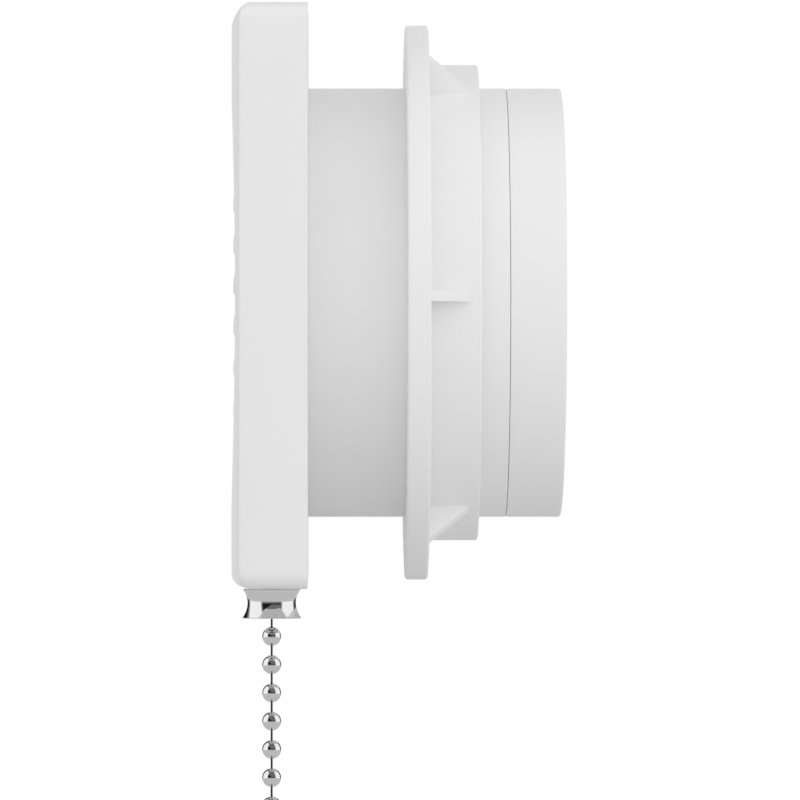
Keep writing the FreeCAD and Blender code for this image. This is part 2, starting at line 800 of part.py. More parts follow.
def chain_ferrule():
    """Waisted chrome bell with a shank through the cover and the switch case."""
    top = -cover_size / 2 - SEAT
    waist = Vector(bell_waist_r, 0, top - bell_waist_drop)
    first = Vector(bell_top_r, 0, top)
    last = Vector(bell_mouth_r, 0, top - bell_height)
    side = Part.Arc(first, waist, last).toShape()
    mouth_in = Vector(bell_mouth_r - 0.8, 0, top - bell_height)
    throat = Vector(chain_bore_r, 0, top - bell_height + 4.0)
    inner_top = Vector(chain_bore_r, 0, top)
    runs = [Part.LineSegment(a, b).toShape() for a, b in
            ((last, mouth_in), (mouth_in, throat), (throat, inner_top), (inner_top, first))]
    bell = Part.Face(Part.Wire([side] + runs)).revolve(ORIGIN, Z, 360)
    bell.translate(Vector(chain_x, chain_y, 0))
    shank_top = -cover_size / 2 + shank_height
    shank = cyl_z(shank_r, top - 0.5, shank_top, chain_x, chain_y)
    return bell.fuse(shank.cut(ferrule_bore(top - 1, shank_top + 1))).removeSplitter()


def ferrule_nut():
    z0 = -cover_size / 2 + cover_wall + SEAT
    points = [Vector(chain_x + 5.6 * math.cos(math.radians(a)), chain_y + 5.0 * math.sin(math.radians(a)), z0)
              for a in range(0, 361, 60)]
    nut = Part.Face(Part.makePolygon(points)).extrude(Vector(0, 0, nut_height))
    return nut.cut(cyl_z(shank_r + FIT, z0 - 1, z0 + 3, chain_x, chain_y))


def pull_chain():
    return cyl_z(bead_r, chain_bottom, drum_z, chain_x, chain_y)


def chain_knob():
    """Tapered pull knob on the end of the chain."""
    top = chain_bottom
    profile = [(0, 0), (2.6, 0), (3.2, -0.8), (3.4, -6.0), (knob_r - 0.4, -17.5), (knob_r, -20.0),
               (knob_r - 0.6, -21.6), (knob_r - 1.8, -knob_length), (0, -knob_length)]
    points = [Vector(r, 0, z) for r, z in profile + profile[:1]]
    body = Part.Face(Part.makePolygon(points)).revolve(ORIGIN, Z, 360)
    body.translate(Vector(chain_x, chain_y, top))
    return body


# ---- wiring ----

def terminal_places():
    quarter = (block_x[1] - block_x[0]) / 4
    return [block_x[0] + quarter, block_x[1] - quarter]


def block_front():
    return -plate_thick - block_depth


def block_head_y():
    return block_front() + 2.0


def block_middle():
    return (block_x[0] + block_x[1]) / 2, (block_z[0] + block_z[1]) / 2


def terminal_block():
    body = block(block_x[0], block_x[1], block_front(), -plate_thick, block_z[0], block_z[1])
    middle, mid_z = block_middle()
    body = body.cut(block(middle - 0.8, middle + 0.8, block_front() - 1, block_front() + 3.0,
                          block_z[0] - 1, block_z[1] + 1))
    cuts = []
    for x in terminal_places():
        cuts.append(cyl_z(1.9, block_z[0] - 1, block_z[1] + 1, x, block_front() + 5.2))
        cuts.append(cyl(1.7, block_front() - 1, block_front() + 4.0, x, mid_z - 3.4))
        cuts.append(cyl(1.7, block_front() - 1, block_front() + 4.0, x, mid_z + 3.4))
    cuts.append(cyl(block_screw_r + SEAT, block_front() - 1, 0, middle, mid_z))
    cuts.append(cyl(block_head_r + SEAT, block_front() - 1, block_head_y() + 1.0, middle, mid_z))
    return body.cut(group(cuts))


def terminal_clamps():
    sleeves = []
    for x in terminal_places():
        sleeve = cyl_z(1.9 - PRESS, block_z[0] + 2.0, block_z[1] - 2.0, x, block_front() + 5.2)
        sleeve = sleeve.cut(cyl_z(1.2, block_z[0], block_z[1], x, block_front() + 5.2))
        sleeves.append(sleeve)
    return group(sleeves)


def slotted_screw(x, z, head_y, head_r, stem_r, length, head_height=1.0):
    """Screw along +Y with a slotted head towards the room."""
    head = cyl(head_r, head_y, head_y + head_height, x, z)
    stem = cyl(stem_r, head_y + head_height, head_y + head_height + length, x, z)
    slot = block(x - head_r - 1, x + head_r + 1, head_y - 0.1, head_y + 0.45, z - 0.3, z + 0.3)
    return fused([head, stem]).cut(slot)


def terminal_screws():
    mid_z = block_middle()[1]
    return group([slotted_screw(x, mid_z + s * 3.4, block_front() + 0.8, 1.6, 1.0, 1.4)
                  for x in terminal_places() for s in (-1, 1)])


def block_screw():
    x, z = block_middle()
    return slotted_screw(x, z, block_head_y(), block_head_r, block_screw_r, -block_head_y() - 1.4)


def clamp_screw_places():
    return (entry_x - clamp_screw_x, entry_x + clamp_screw_x)


def cable_clamp():
    """Bar on two pillars that grips the supply cable's jacket."""
    z = clamp_bar_z
    half = clamp_pillar
    left, right = clamp_screw_places()
    pillars = [block(x - half, x + half, -plate_thick - 4.0, -plate_thick, z - half, z + half)
               for x in (left, right)]
    bar = block(left - half, right + half, -plate_thick - 6.0, -plate_thick - 4.0, z - half, z + half)
    tooth = block(entry_x - 2.5, entry_x + 2.5, -plate_thick - 4.6, -plate_thick - 3.4, z - 0.5, z + 0.5)
    holes = [cyl(0.9, -plate_thick - 7, -plate_thick - 0.5, x, z) for x in (left, right)]
    return fused(pillars + [bar, tooth]).cut(group(holes))


def cable_clamp_screws():
    return group([slotted_screw(x, clamp_bar_z, -plate_thick - 7.0, clamp_pillar, 0.88, 5.0)
                  for x in clamp_screw_places()])


def cable_grommet():
    """Rubber ring in the back plate's cable entry."""
    r = entry_r
    body = pipe(r - SEAT, grommet_bore_r, -plate_thick - 1.2, -0.2, entry_x, entry_z)
    lip = pipe(r + 1.0, grommet_bore_r, -plate_thick - 1.4, -plate_thick - 0.05, entry_x, entry_z)
    return fused([body, lip])


def motor_lead(side):
    """Lead beside a lower spoke, from the corner pocket to the motor."""
    inner_r = cup_r - 3.2
    if side > 0:
        slant = math.sqrt(0.5)
        outer_r = (lead_offset * slant - lead_r * slant - case_top) / slant
        far, near = lead_line(side, inner_r, outer_r)
        return Part.makeCylinder(lead_r, (near - far).Length, far, near - far)
    outer_r = -(block_x[1] - lead_inset) / math.sqrt(0.5) - lead_offset
    far, near = lead_line(side, inner_r, outer_r)
    drop = Vector(far.x, lead_y, block_z[1] + SEAT)
    corner = Vector(far.x, lead_y, far.z)
    return bent_wire([drop, corner, near], lead_r)


def supply_lead():
    """Lead under the duct from the terminal block to the switch."""
    z = -54.5
    places = [(block_x[1] + SEAT, z), (-30, z), (-16, z - 2.6), (2, z - 3.0), (16, z - 2.4),
              (25, z - 0.6), (case_left - SEAT, z - 0.6)]
    return bent_wire([Vector(x, lead_y, height) for x, height in places], lead_r)


def parts():
    return {
        "front_cover": front_cover(),
        "front_grille": front_grille(),
        "back_plate": back_plate(),
        "duct_tube": duct_tube(),
        "motor_carrier": motor_carrier(),
        "clamp_flange": clamp_flange(),
        "rear_ring": rear_ring(),
        "damper_pin": damper_pin(),
        "damper_flap_right": damper_flap(1),
        "damper_flap_left": damper_flap(-1),
        "damper_spring_upper": damper_spring(1),
        "damper_spring_lower": damper_spring(-1),
        "impeller": impeller(),
        "impeller_nut": impeller_nut(),
        "shaft": shaft(),
        "rotor": rotor(),
        "thrust_washers": thrust_washers(),
        "stator_core": stator_core(),
        "coil_bobbins": coil_bobbins(),
        "windings": windings(),
        "front_bush": bush(front_bush_y()),
        "rear_bush": bush(rear_bush_y()),
        "front_bridge": bearing_bridge(front_bridge_y(), front_bush_y()),
        "rear_bridge": bearing_bridge(rear_bridge_y(), rear_bush_y()),
        "bridge_spacers": spacers(),
        "motor_screws": motor_screws(),
        "motor_cap": motor_cap(),
        "switch_case": fused([switch_case()] + lid_screw_posts()),
        "switch_lid": switch_lid(),
        "lid_screws": lid_screws(),
        "drum_axle": axle(drum_x, drum_z),
        "cam_axle": axle(cam_x, cam_z),
        "pull_drum": pull_drum(),
        "drum_spring": drum_spring(),
        "contact_cam": contact_cam(),
        "switch_contacts": switch_contacts(),
        "chain_ferrule": chain_ferrule(),
        "ferrule_nut": ferrule_nut(),
        "pull_chain": pull_chain(),
        "chain_knob": chain_knob(),
        "terminal_block": terminal_block(),
        "terminal_clamps": terminal_clamps(),
        "terminal_screws": terminal_screws(),
        "block_screw": block_screw(),
        "cable_clamp": cable_clamp(),
        "cable_clamp_screws": cable_clamp_screws(),
        "cable_grommet": cable_grommet(),
        "supply_lead": supply_lead(),
        "neutral_lead": motor_lead(-1),
        "switched_lead": motor_lead(1),
    }


def main():
    os.makedirs("parts", exist_ok=True)
    for name, shape in parts().items():
        if not shape.isValid():
            raise ValueError(name + " isn't a valid shape")
        shape.exportStep("parts/" + name + ".step")
        print(name, len(shape.Solids), "solids", round(shape.Volume, 1), "mm3")


main()
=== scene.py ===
# A square wall fan for 100 mm duct, with a pull-cord switch in its lower corner.
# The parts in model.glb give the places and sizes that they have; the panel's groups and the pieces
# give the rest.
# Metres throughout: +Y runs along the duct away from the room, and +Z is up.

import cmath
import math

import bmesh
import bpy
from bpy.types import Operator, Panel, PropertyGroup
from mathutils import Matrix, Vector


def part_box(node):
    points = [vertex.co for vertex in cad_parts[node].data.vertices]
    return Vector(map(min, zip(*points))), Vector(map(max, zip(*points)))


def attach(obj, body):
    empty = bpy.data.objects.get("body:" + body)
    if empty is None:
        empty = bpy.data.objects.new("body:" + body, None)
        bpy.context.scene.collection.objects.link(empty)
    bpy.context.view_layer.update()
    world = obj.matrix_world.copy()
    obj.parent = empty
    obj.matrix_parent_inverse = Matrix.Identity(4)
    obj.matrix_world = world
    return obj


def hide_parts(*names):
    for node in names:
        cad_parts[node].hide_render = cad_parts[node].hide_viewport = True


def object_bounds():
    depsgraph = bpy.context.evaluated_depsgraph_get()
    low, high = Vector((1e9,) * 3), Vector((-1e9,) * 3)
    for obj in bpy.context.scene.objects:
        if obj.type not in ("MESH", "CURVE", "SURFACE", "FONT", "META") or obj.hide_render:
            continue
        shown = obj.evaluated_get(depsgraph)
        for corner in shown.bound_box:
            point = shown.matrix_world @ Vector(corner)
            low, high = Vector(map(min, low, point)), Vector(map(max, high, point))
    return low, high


bl_info = {
    "name": "Duct Fan with Pull Switch",
    "version": (1, 0, 0),
    "blender": (4, 5, 0),
    "location": "3D View > Sidebar > Duct Fan",
    "description": "Builds a square duct fan with a pull switch",
    "category": "Object",
}

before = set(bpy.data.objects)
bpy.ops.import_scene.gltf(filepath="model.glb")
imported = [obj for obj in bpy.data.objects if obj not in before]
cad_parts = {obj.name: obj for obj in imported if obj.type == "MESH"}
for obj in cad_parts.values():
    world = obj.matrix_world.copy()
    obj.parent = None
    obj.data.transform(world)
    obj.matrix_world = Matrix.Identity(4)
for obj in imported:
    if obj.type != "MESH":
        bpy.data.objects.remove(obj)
CAD_BOUNDS = [list(corner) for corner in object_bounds()]

MM = 0.001
ROUND = 160             # facets round a duct-sized piece
FINE = 64               # facets round a small turned piece
SMOOTH_ANGLE = math.radians(35)
ON_AXIS = 1e-9          # a radius this small is a pole


def low(node):
    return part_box(node)[0]


def high(node):
    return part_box(node)[1]


def middle(node):
    return (low(node) + high(node)) / 2


# ---- settings ----

def length(name, description, millimetres):
    return bpy.props.FloatProperty(name=name, description=description, default=millimetres * MM,
                                   min=0.0, unit="LENGTH", precision=4)


def number(name, description, default, most):
    return bpy.props.IntProperty(name=name, description=description, default=default,
                                 min=1, max=most)


def colour(name, description, default):
    return bpy.props.FloatVectorProperty(name=name, description=description, default=default,
                                         size=3, subtype="COLOR", min=0.0, max=1.0)


class FanCover(PropertyGroup):
    """The square front cover."""
    crown: length("Crown", "How far the front bows out at its middle", 2.2)
    wall: length("Wall", "Thickness of the cover's walls", 2.0)
    corner: length("Corner radius", "Radius of the four corners", 4.0)
    side_round: length("Side rounding", "Radius of the two upright front edges", 1.5)
    top_round: length("Top rounding", "Radius of the top and bottom front edges", 3.1)
    rear_round: length("Rear rounding", "Small radius of the rim at the wall", 0.4)
    opening: length("Opening", "Radius of the opening for the grille", 48.5)


class FanGrille(PropertyGroup):
    """The round louvred grille."""
    recess: length("Recess", "How far the grille lies behind the cover's face", 0.25)
    rim: length("Rim", "Width of the grille's rim", 2.0)
    pitch: length("Pitch", "Distance from one slat to the next", 9.4)
    thick: length("Slat thickness", "Height of a slat's front edge", 2.6)
    arch: length("Arch", "Rise of a slat's ends over its middle", 3.6)
    depth: length("Slat depth", "Front to back of a slat", 3.6)
    slope: length("Slope", "Rise of a slat from front to back", 1.3)
    count: number("Slats", "Number of slats", 10, 40)


class FanFlange(PropertyGroup):
    """The ribbed clamp flange."""
    disc: length("Disc", "Thickness of the disc", 5.2)
    disc_round: length("Disc rounding", "Radius of the disc's edges", 0.7)
    collar: length("Collar", "Radius of the collar behind the disc", 54.9)
    collar_wall: length("Collar wall", "Thickness of the collar's wall", 2.0)
    gusset: length("Gusset", "Thickness of a gusset", 2.5)
    count: number("Gussets", "Number of gussets", 6, 24)


class FanChain(PropertyGroup):
    """The ball chain."""
    bead: length("Bead", "Radius of a bead", 2.15)
    pitch: length("Pitch", "Distance from one bead to the next", 6.33)
    first: length("First bead", "From the drum end to the first bead", 0.41)
    link: length("Link", "Radius of the wire between beads", 0.24)


class FanFinish(PropertyGroup):
    """The colours of the mouldings and the bright metal."""
    gloss: colour("Cover white", "Colour of the cover and the grille", (0.90, 0.90, 0.90))
    satin: colour("Duct white", "Colour of the tube, flange and rear ring", (0.92, 0.92, 0.92))
    chrome: colour("Chrome", "Colour of the plated bell and chain", (0.86, 0.86, 0.87))
    floor: colour("Floor", "Colour of the studio floor", (0.72, 0.72, 0.72))


GROUPS = {"fan_cover": FanCover, "fan_grille": FanGrille, "fan_flange": FanFlange,
          "fan_chain": FanChain, "fan_finish": FanFinish}


# ---- nodes ----

class Value:
    """An output socket whose arithmetic adds Math nodes to its tree."""

    def __init__(self, maker, socket):
        self.maker = maker
        self.socket = socket

    def math(self, operation, *values):
        inputs = dict(enumerate(values))
        return self.maker.node("ShaderNodeMath", {"operation": operation}, inputs)

    def __add__(self, other):
        return self.math("ADD", self, other)

    def __radd__(self, other):
        return self.math("ADD", other, self)

    def __sub__(self, other):
        return self.math("SUBTRACT", self, other)

    def __rsub__(self, other):
        return self.math("SUBTRACT", other, self)

    def __mul__(self, other):
        return self.math("MULTIPLY", self, other)

    def __rmul__(self, other):
        return self.math("MULTIPLY", other, self)

    def __truediv__(self, other):
        return self.math("DIVIDE", self, other)

    def __rtruediv__(self, other):
        return self.math("DIVIDE", other, self)

    def __pow__(self, other):
        return self.math("POWER", self, other)

    def root(self):
        return self.math("SQRT", self)

    def size(self):
        return self.math("ABSOLUTE", self)

    def least(self, other):
        return self.math("MAXIMUM", self, other)

    def step(self, start, end):
        """0 below start, 1 above end, and smooth between them."""
        return self.maker.node("ShaderNodeMapRange", {"interpolation_type": "SMOOTHSTEP"},
                               {"Value": self, "From Min": start, "From Max": end})


class Nodes:
    """Adds nodes to one tree."""

    def __init__(self, tree):
        self.tree = tree

    def node(self, kind, settings=None, inputs=None, output=0):
        """A node: its settings first, then its sockets' values or links."""
        made = self.tree.nodes.new(kind)
        for name, value in (settings or {}).items():
            setattr(made, name, value)
        for key, value in (inputs or {}).items():
            if isinstance(value, Value):
                self.tree.links.new(value.socket, made.inputs[key])
            else:
                made.inputs[key].default_value = value
        return Value(self, made.outputs[output]) if made.outputs else made

    def of(self, value, output):
        """Another output of the node that a value comes from."""
        return Value(self, value.socket.node.outputs[output])

    def split(self, vector):
        first = self.node("ShaderNodeSeparateXYZ", inputs={0: vector})
        return first, self.of(first, 1), self.of(first, 2)

    def joined(self, x=0.0, y=0.0, z=0.0):
        return self.node("ShaderNodeCombineXYZ", inputs={0: x, 1: y, 2: z})


class Paint(Nodes):
    """The nodes of one finish, on the piece's own coordinates."""

    def __init__(self, name):
        self.material = bpy.data.materials.new(name)
        self.material.use_nodes = True
        super().__init__(self.material.node_tree)
        self.tree.nodes.clear()
        self.place = self.of(self.node("ShaderNodeTexCoord"), "Object")

    def noise(self, scale, detail=2.0, stretch=(1.0, 1.0, 1.0)):
        """Noise from 0 to 1 with that many features to the metre."""
        spread = self.node("ShaderNodeMapping", inputs={"Vector": self.place, "Scale": stretch})
        return self.node("ShaderNodeTexNoise", inputs={"Vector": spread, "Scale": scale,
                                                       "Detail": detail})

    def tint(self, factor, base, dark, light):
        """A colour from a dark to a light share of its base."""
        shades = [[min(1.0, part * share) for part in base] + [1.0] for share in (dark, light)]
        return self.node("ShaderNodeMix", {"data_type": "RGBA"},
                         {"Factor": factor, 6: shades[0], 7: shades[1]}, 2)

    def bump(self, height, depth, strength=1.0, below=None):
        """Relief of a depth in millimetres, over any relief below it."""
        inputs = {"Height": height, "Distance": depth * MM, "Strength": strength}
        if below is not None:
            inputs["Normal"] = below
        return self.node("ShaderNodeBump", inputs=inputs)

    def finish(self, **sockets):
        """The surface shader, with underscores for the spaces in its sockets' names."""
        inputs = {name.replace("_", " "): value for name, value in sockets.items()}
        shader = self.node("ShaderNodeBsdfPrincipled", inputs=inputs)
        self.node("ShaderNodeOutputMaterial", inputs={"Surface": shader})
        return self.material


# ---- finishes ----

def skinned(name, base, stain, grain, shades, rough, relief, **more):
    """A finish of two noises: the stain shades its colour, and the grain its gloss and relief."""
    paint = Paint(name)
    tone, skin = paint.noise(*stain), paint.noise(*grain)
    least, spread = rough
    return paint.finish(
        Base_Color=paint.tint(tone, base, *shades),
        Roughness=skin * spread + least,
        Normal=paint.bump(skin, *relief), **more)


def moulded(name, base, rough, grain):
    """White injection-moulded plastic: flow marks in its gloss and a fine moulded grain."""
    paint = Paint(name)
    cloud = paint.noise(28.0, 3.0)
    flow = paint.noise(60.0, 2.0, (1.0, 0.25, 1.0))
    skin = paint.noise(2600.0, 2.0)
    wave = paint.noise(160.0, 1.0)
    gentle = paint.bump(wave, 0.02)
    return paint.finish(
        Base_Color=paint.tint(cloud, base, 0.985, 1.015),
        Roughness=flow * 0.10 + (rough - 0.05) + skin * 0.04,
        IOR=1.49,
        Normal=paint.bump(skin, grain, 0.5, gentle))


def plated(name, base, rough):
    """Bright plate with faint polishing lines and a little haze."""
    paint = Paint(name)
    lines = paint.noise(900.0, 2.0, (1.0, 1.0, 0.06))
    haze = paint.noise(140.0, 3.0)
    return paint.finish(
        Base_Color=paint.tint(haze, base, 0.96, 1.0),
        Metallic=1.0,
        Roughness=haze * 0.05 + rough + lines * 0.02,
        Normal=paint.bump(lines, 0.002, 0.35))


def brushed(name, base, rough, stretch=(1.0, 0.05, 1.0)):
    """Drawn or turned metal with grain along its length."""
    return skinned(name, base, stain=(220.0, 3.0), grain=(3200.0, 3.0, stretch),
                   shades=(0.82, 1.08), rough=(rough, 0.18), relief=(0.01, 0.6), Metallic=1.0)


def cast(name, base):
    """Die-cast metal: a dull pitted skin."""
    return skinned(name, base, stain=(150.0, 3.0), grain=(1500.0, 4.0), shades=(0.85, 1.05),
                   rough=(0.35, 0.25), relief=(0.03, 0.7), Metallic=1.0)


def laminated(name, base):
    """Stacked sheets of electrical steel, seen as fine lines along the shaft."""
    paint = Paint(name)
    sheets = paint.split(paint.place)[1] * (1.0 / (0.5 * MM))
    sheet = sheets.math("FRACT", sheets)
    gap = 1.0 - sheet.step(0.0, 0.12) * (1.0 - sheet.step(0.88, 1.0))
    rust = paint.noise(400.0, 3.0)
    return paint.finish(
        Base_Color=paint.tint(gap * 0.8 + rust * 0.2, base, 1.0, 0.35),
        Metallic=0.9,
        Roughness=rust * 0.2 + 0.4,
        Normal=paint.bump(1.0 - gap, 0.05))


def nylon(name, base):
    """Natural nylon, a little cloudy and slightly see-through at its edges."""
    paint = Paint(name)
    cloud = paint.noise(90.0, 3.0)
    skin = paint.noise(1800.0, 2.0)
    return paint.finish(
        Base_Color=paint.tint(cloud, base, 0.93, 1.04),
        Roughness=cloud * 0.12 + 0.38,
        Subsurface_Weight=0.15,
        Subsurface_Scale=0.001,
        Normal=paint.bump(skin, 0.01, 0.5))


def rubber(name, base):
    """Soft black rubber with a dusty bloom."""
    bloom = (300.0, 4.0)
    return skinned(name, base, stain=bloom, grain=bloom, shades=(1.0, 2.2), rough=(0.6, 0.2),
                   relief=(0.02, 0.6))


def sleeving(name, base):
    """Soft extruded wire insulation."""
    run = (500.0, 2.0)
    return skinned(name, base, stain=run, grain=run, shades=(0.85, 1.15), rough=(0.36, 0.12),
                   relief=(0.01, 0.5))


def enamelled(name, base):
    """Enamelled copper wire."""
    tone = (600.0, 3.0)
    return skinned(name, base, stain=tone, grain=tone, shades=(0.75, 1.2), rough=(0.22, 0.1),
                   relief=(0.004, 0.5), Metallic=1.0, Coat_Weight=0.5)


GLOSS, SATIN = "gloss_white", "satin_white"     # the slots of the two white mouldings
FINISHES = {}


def make_finishes(look):
    """Every finish under its slot in the record."""
    gloss, satin, bright = tuple(look.gloss), tuple(look.satin), tuple(look.chrome)
    FINISHES.update({
        GLOSS: moulded("gloss_white_moulding", gloss, 0.34, 0.004),
        SATIN: moulded("satin_white_moulding", satin, 0.46, 0.010),
        "switch_plastic": moulded("switch_moulding", (0.72, 0.72, 0.69), 0.42, 0.012),
        "chrome": plated("chrome_plate", bright, 0.045),
        "link_wire": plated("dark_link_wire", (0.09, 0.09, 0.095), 0.16),
        "steel": brushed("zinc_steel", (0.56, 0.57, 0.60), 0.24),
        "spring_steel": brushed("spring_wire", (0.46, 0.46, 0.48), 0.20, (1.0, 1.0, 1.0)),
        "brass": brushed("turned_brass", (0.72, 0.53, 0.24), 0.22),
        "cast_metal": cast("die_cast_alloy", (0.60, 0.60, 0.62)),
        "rotor_metal": cast("rotor_alloy", (0.55, 0.55, 0.57)),
        "lamination": laminated("core_laminations", (0.26, 0.26, 0.29)),
        "copper": enamelled("enamelled_copper", (0.66, 0.27, 0.12)),
        "nylon": nylon("natural_nylon", (0.78, 0.75, 0.66)),
        "rubber": rubber("black_rubber", (0.02, 0.02, 0.02)),
        "wire_brown": sleeving("brown_sleeving", (0.16, 0.06, 0.03)),
        "wire_blue": sleeving("blue_sleeving", (0.03, 0.13, 0.42)),
    })


# ---- mesh helpers ----

def linked(name, data):
    """A new object in the scene."""
    thing = bpy.data.objects.new(name, data)
    bpy.context.scene.collection.objects.link(thing)
    return thing


def rounded(outline, steps=6):
    """A closed outline of (across, along, corner radius) points with its corners rounded."""
    corners = [complex(x, y) for x, y, _ in outline]
    points = []
    for i, (_, _, radius) in enumerate(outline):
        corner = corners[i]
        into = corner - corners[i - 1]
        out = corners[(i + 1) % len(corners)] - corner
        turn = cmath.phase(out / into)
        if radius == 0 or abs(turn) < 1e-6:
            points.append((corner.real, corner.imag))
            continue
        into /= abs(into)
        start = corner - into * radius * math.tan(abs(turn) / 2)
        centre = start + into * 1j * math.copysign(radius, turn)
        for step in range(steps + 1):
            point = centre + (start - centre) * cmath.exp(1j * turn * step / steps)
            points.append((point.real, point.imag))
    return points


def new_piece(name, bm, slot):
    """A plain mesh object at the origin, smooth up to a fixed angle."""
    bmesh.ops.recalc_face_normals(bm, faces=bm.faces)
    mesh = bpy.data.meshes.new(name)
    bm.to_mesh(mesh)
    bm.free()
    mesh.materials.append(FINISHES[slot])
    mesh.polygons.foreach_set("use_smooth", [True] * len(mesh.polygons))
    mesh.set_sharp_from_angle(angle=SMOOTH_ANGLE)
    return linked(name, mesh)


def rows_to_faces(bm, rows, closed):
    """Quads between rings of vertices, or triangles where a ring is one pole vertex."""
    pairs = list(zip(rows, rows[1:]))
    if closed:
        pairs.append((rows[-1], rows[0]))
    for first, second in pairs:
        count = max(len(first), len(second))
        for i in range(count):
            j = (i + 1) % count
            if len(first) == 1:
                bm.faces.new((first[0], second[i], second[j]))
            elif len(second) == 1:
                bm.faces.new((first[i], first[j], second[0]))
            else:
                bm.faces.new((first[i], first[j], second[j], second[i]))


def ends_closed(bm, rows):
    """Quads between rows of vertices, and one face over each end."""
    rows_to_faces(bm, rows, closed=False)
    bm.faces.new(reversed(rows[0]))
    bm.faces.new(rows[-1])


def upright_into(bm, x, half, front, rear, tall, steps):
    """Add an upright bar whose front and rear are each (place, edge radius)."""
    section = rounded([(x - half, *front), (x + half, *front), (x + half, *rear),
                       (x - half, *rear)], steps)
    ends_closed(bm, [[bm.verts.new((px, y, z)) for px, y in section] for z in (-tall, tall)])


def turned_into(bm, outline, axis="Y", centre=(0.0, 0.0), count=ROUND):
    """Add a turned solid from its (radius, along) outline, open where it ends on the axis."""
    rows = []
    for radius, along in outline:
        ring = []
        for i in range(1 if radius < ON_AXIS else count):
            angle = 2 * math.pi * i / count
            across = centre[0] + radius * math.cos(angle)
            other = centre[1] + radius * math.sin(angle)
            place = (across, along, other) if axis == "Y" else (across, other, along)
            ring.append(bm.verts.new(place))
        rows.append(ring)
    rows_to_faces(bm, rows, closed=outline[0][0] > ON_AXIS)


def turned(name, slot, outline, axis="Y", centre=(0.0, 0.0), count=ROUND):
    bm = bmesh.new()
    turned_into(bm, outline, axis, centre, count)
    return new_piece(name, bm, slot)


def slab(name, slot, outline, half_width, edge):
    """A flat plate in the XY plane with eased edges, centred on Z."""
    bm = bmesh.new()
    places = [Vector(p) for p in outline]
    centre = sum(places, Vector((0.0, 0.0))) / len(places)
    reach = max((p - centre).length for p in places)
    rows = []
    for z, inset in ((-half_width, edge), (-half_width + edge, 0.0), (half_width - edge, 0.0),
                     (half_width, edge)):
        share = 1.0 - inset / reach
        rows.append([bm.verts.new((*(centre + (p - centre) * share), z)) for p in places])
    ends_closed(bm, rows)
    return new_piece(name, bm, slot)


def applied(piece):
    """Turn a piece's live modifiers into plain mesh."""
    graph = bpy.context.evaluated_depsgraph_get()
    mesh = bpy.data.meshes.new_from_object(piece.evaluated_get(graph))
    piece.modifiers.clear()
    piece.data = mesh
    mesh.set_sharp_from_angle(angle=SMOOTH_ANGLE)
    return piece


def drilled(piece, lines, radius, count=24):
    """Cut a round hole along each (start, end) line out of a piece."""
    drills = []
    for start, end in lines:
        run, place = end - start, Matrix.Translation((start + end) / 2)
        turn = run.to_track_quat("Z", "Y").to_matrix().to_4x4()
        bm = bmesh.new()
        bmesh.ops.create_cone(bm, cap_ends=True, segments=count, radius1=radius, radius2=radius,
                              depth=run.length, matrix=place @ turn)
        drills.append(new_piece("drill", bm, "steel"))
        cut = piece.modifiers.new("Hole", "BOOLEAN")
        cut.operation = "DIFFERENCE"
        cut.solver = "EXACT"
        cut.object = drills[-1]
    applied(piece)
    for drill in drills:
        bpy.data.objects.remove(drill)


def guide_curve(name, points, kind):
    """A curve object of that kind through points."""
    line = bpy.data.curves.new(name, "CURVE")
    line.dimensions = "3D"
    spline = line.splines.new(kind)
    spline.points.add(len(points) - 1)
    for point, place in zip(spline.points, points):
        point.co = (*place, 1.0)
    return linked(name, line)


def traced(guide):
    """The mesh of a guide curve."""
    graph = bpy.context.evaluated_depsgraph_get()
    return bpy.data.meshes.new_from_object(guide.evaluated_get(graph))


def wire_piece(name, slot, points, radius, resolution):
    """A round wire through points."""
    guide = guide_curve(name + "_guide", points, "POLY")
    guide.data.bevel_depth = radius
    guide.data.bevel_resolution = resolution
    guide.data.use_fill_caps = True
    mesh = traced(guide)
    bpy.data.objects.remove(guide)
    bm = bmesh.new()
    bm.from_mesh(mesh)
    bmesh.ops.remove_doubles(bm, verts=bm.verts, dist=1e-7)
    bpy.data.meshes.remove(mesh)
    return new_piece(name, bm, slot)


def placed(piece, slot, *nodes, body="housing"):
    """Ride on a body, in place of any nodes it stands for; the slot is not used."""
    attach(piece, body)
    if nodes:
        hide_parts(*nodes)


# ---- node trees for what repeats ----

OBJECT, COUNT, SIZE = "NodeSocketObject", "NodeSocketInt", "NodeSocketFloat"
VECTOR, MATERIAL = "NodeSocketVector", "NodeSocketMaterial"


def shape_tree(name, **inputs):
    """An empty geometry tree with a finish and named inputs, each given its kind of socket."""
    tree = bpy.data.node_groups.new(name, "GeometryNodeTree")
    for label, kind in {**inputs, "Finish": MATERIAL}.items():
        tree.interface.new_socket(label, in_out="INPUT", socket_type=kind)
    tree.interface.new_socket("Geometry", in_out="OUTPUT", socket_type="NodeSocketGeometry")
    nodes = Nodes(tree)
    start = tree.nodes.new("NodeGroupInput")
    return nodes, {s.name: Value(nodes, s) for s in start.outputs if s.name}


def end_tree(nodes, given, shape):
    real = nodes.node("GeometryNodeRealizeInstances", inputs={"Geometry": shape})
    painted = nodes.node("GeometryNodeSetMaterial",
                         inputs={"Geometry": real, "Material": given["Finish"]})
    nodes.node("NodeGroupOutput", inputs={0: painted})
    return nodes.tree


def template_shape(nodes, source):
    return nodes.of(nodes.node("GeometryNodeObjectInfo", inputs={"Object": source}), "Geometry")


def copies_tree(nodes, given, points, **turn):
    """End a tree with a copy of its shape at every point."""
    copies = nodes.node("GeometryNodeInstanceOnPoints", inputs={
        "Points": points, "Instance": template_shape(nodes, given["Shape"]), **turn})
    return end_tree(nodes, given, copies)


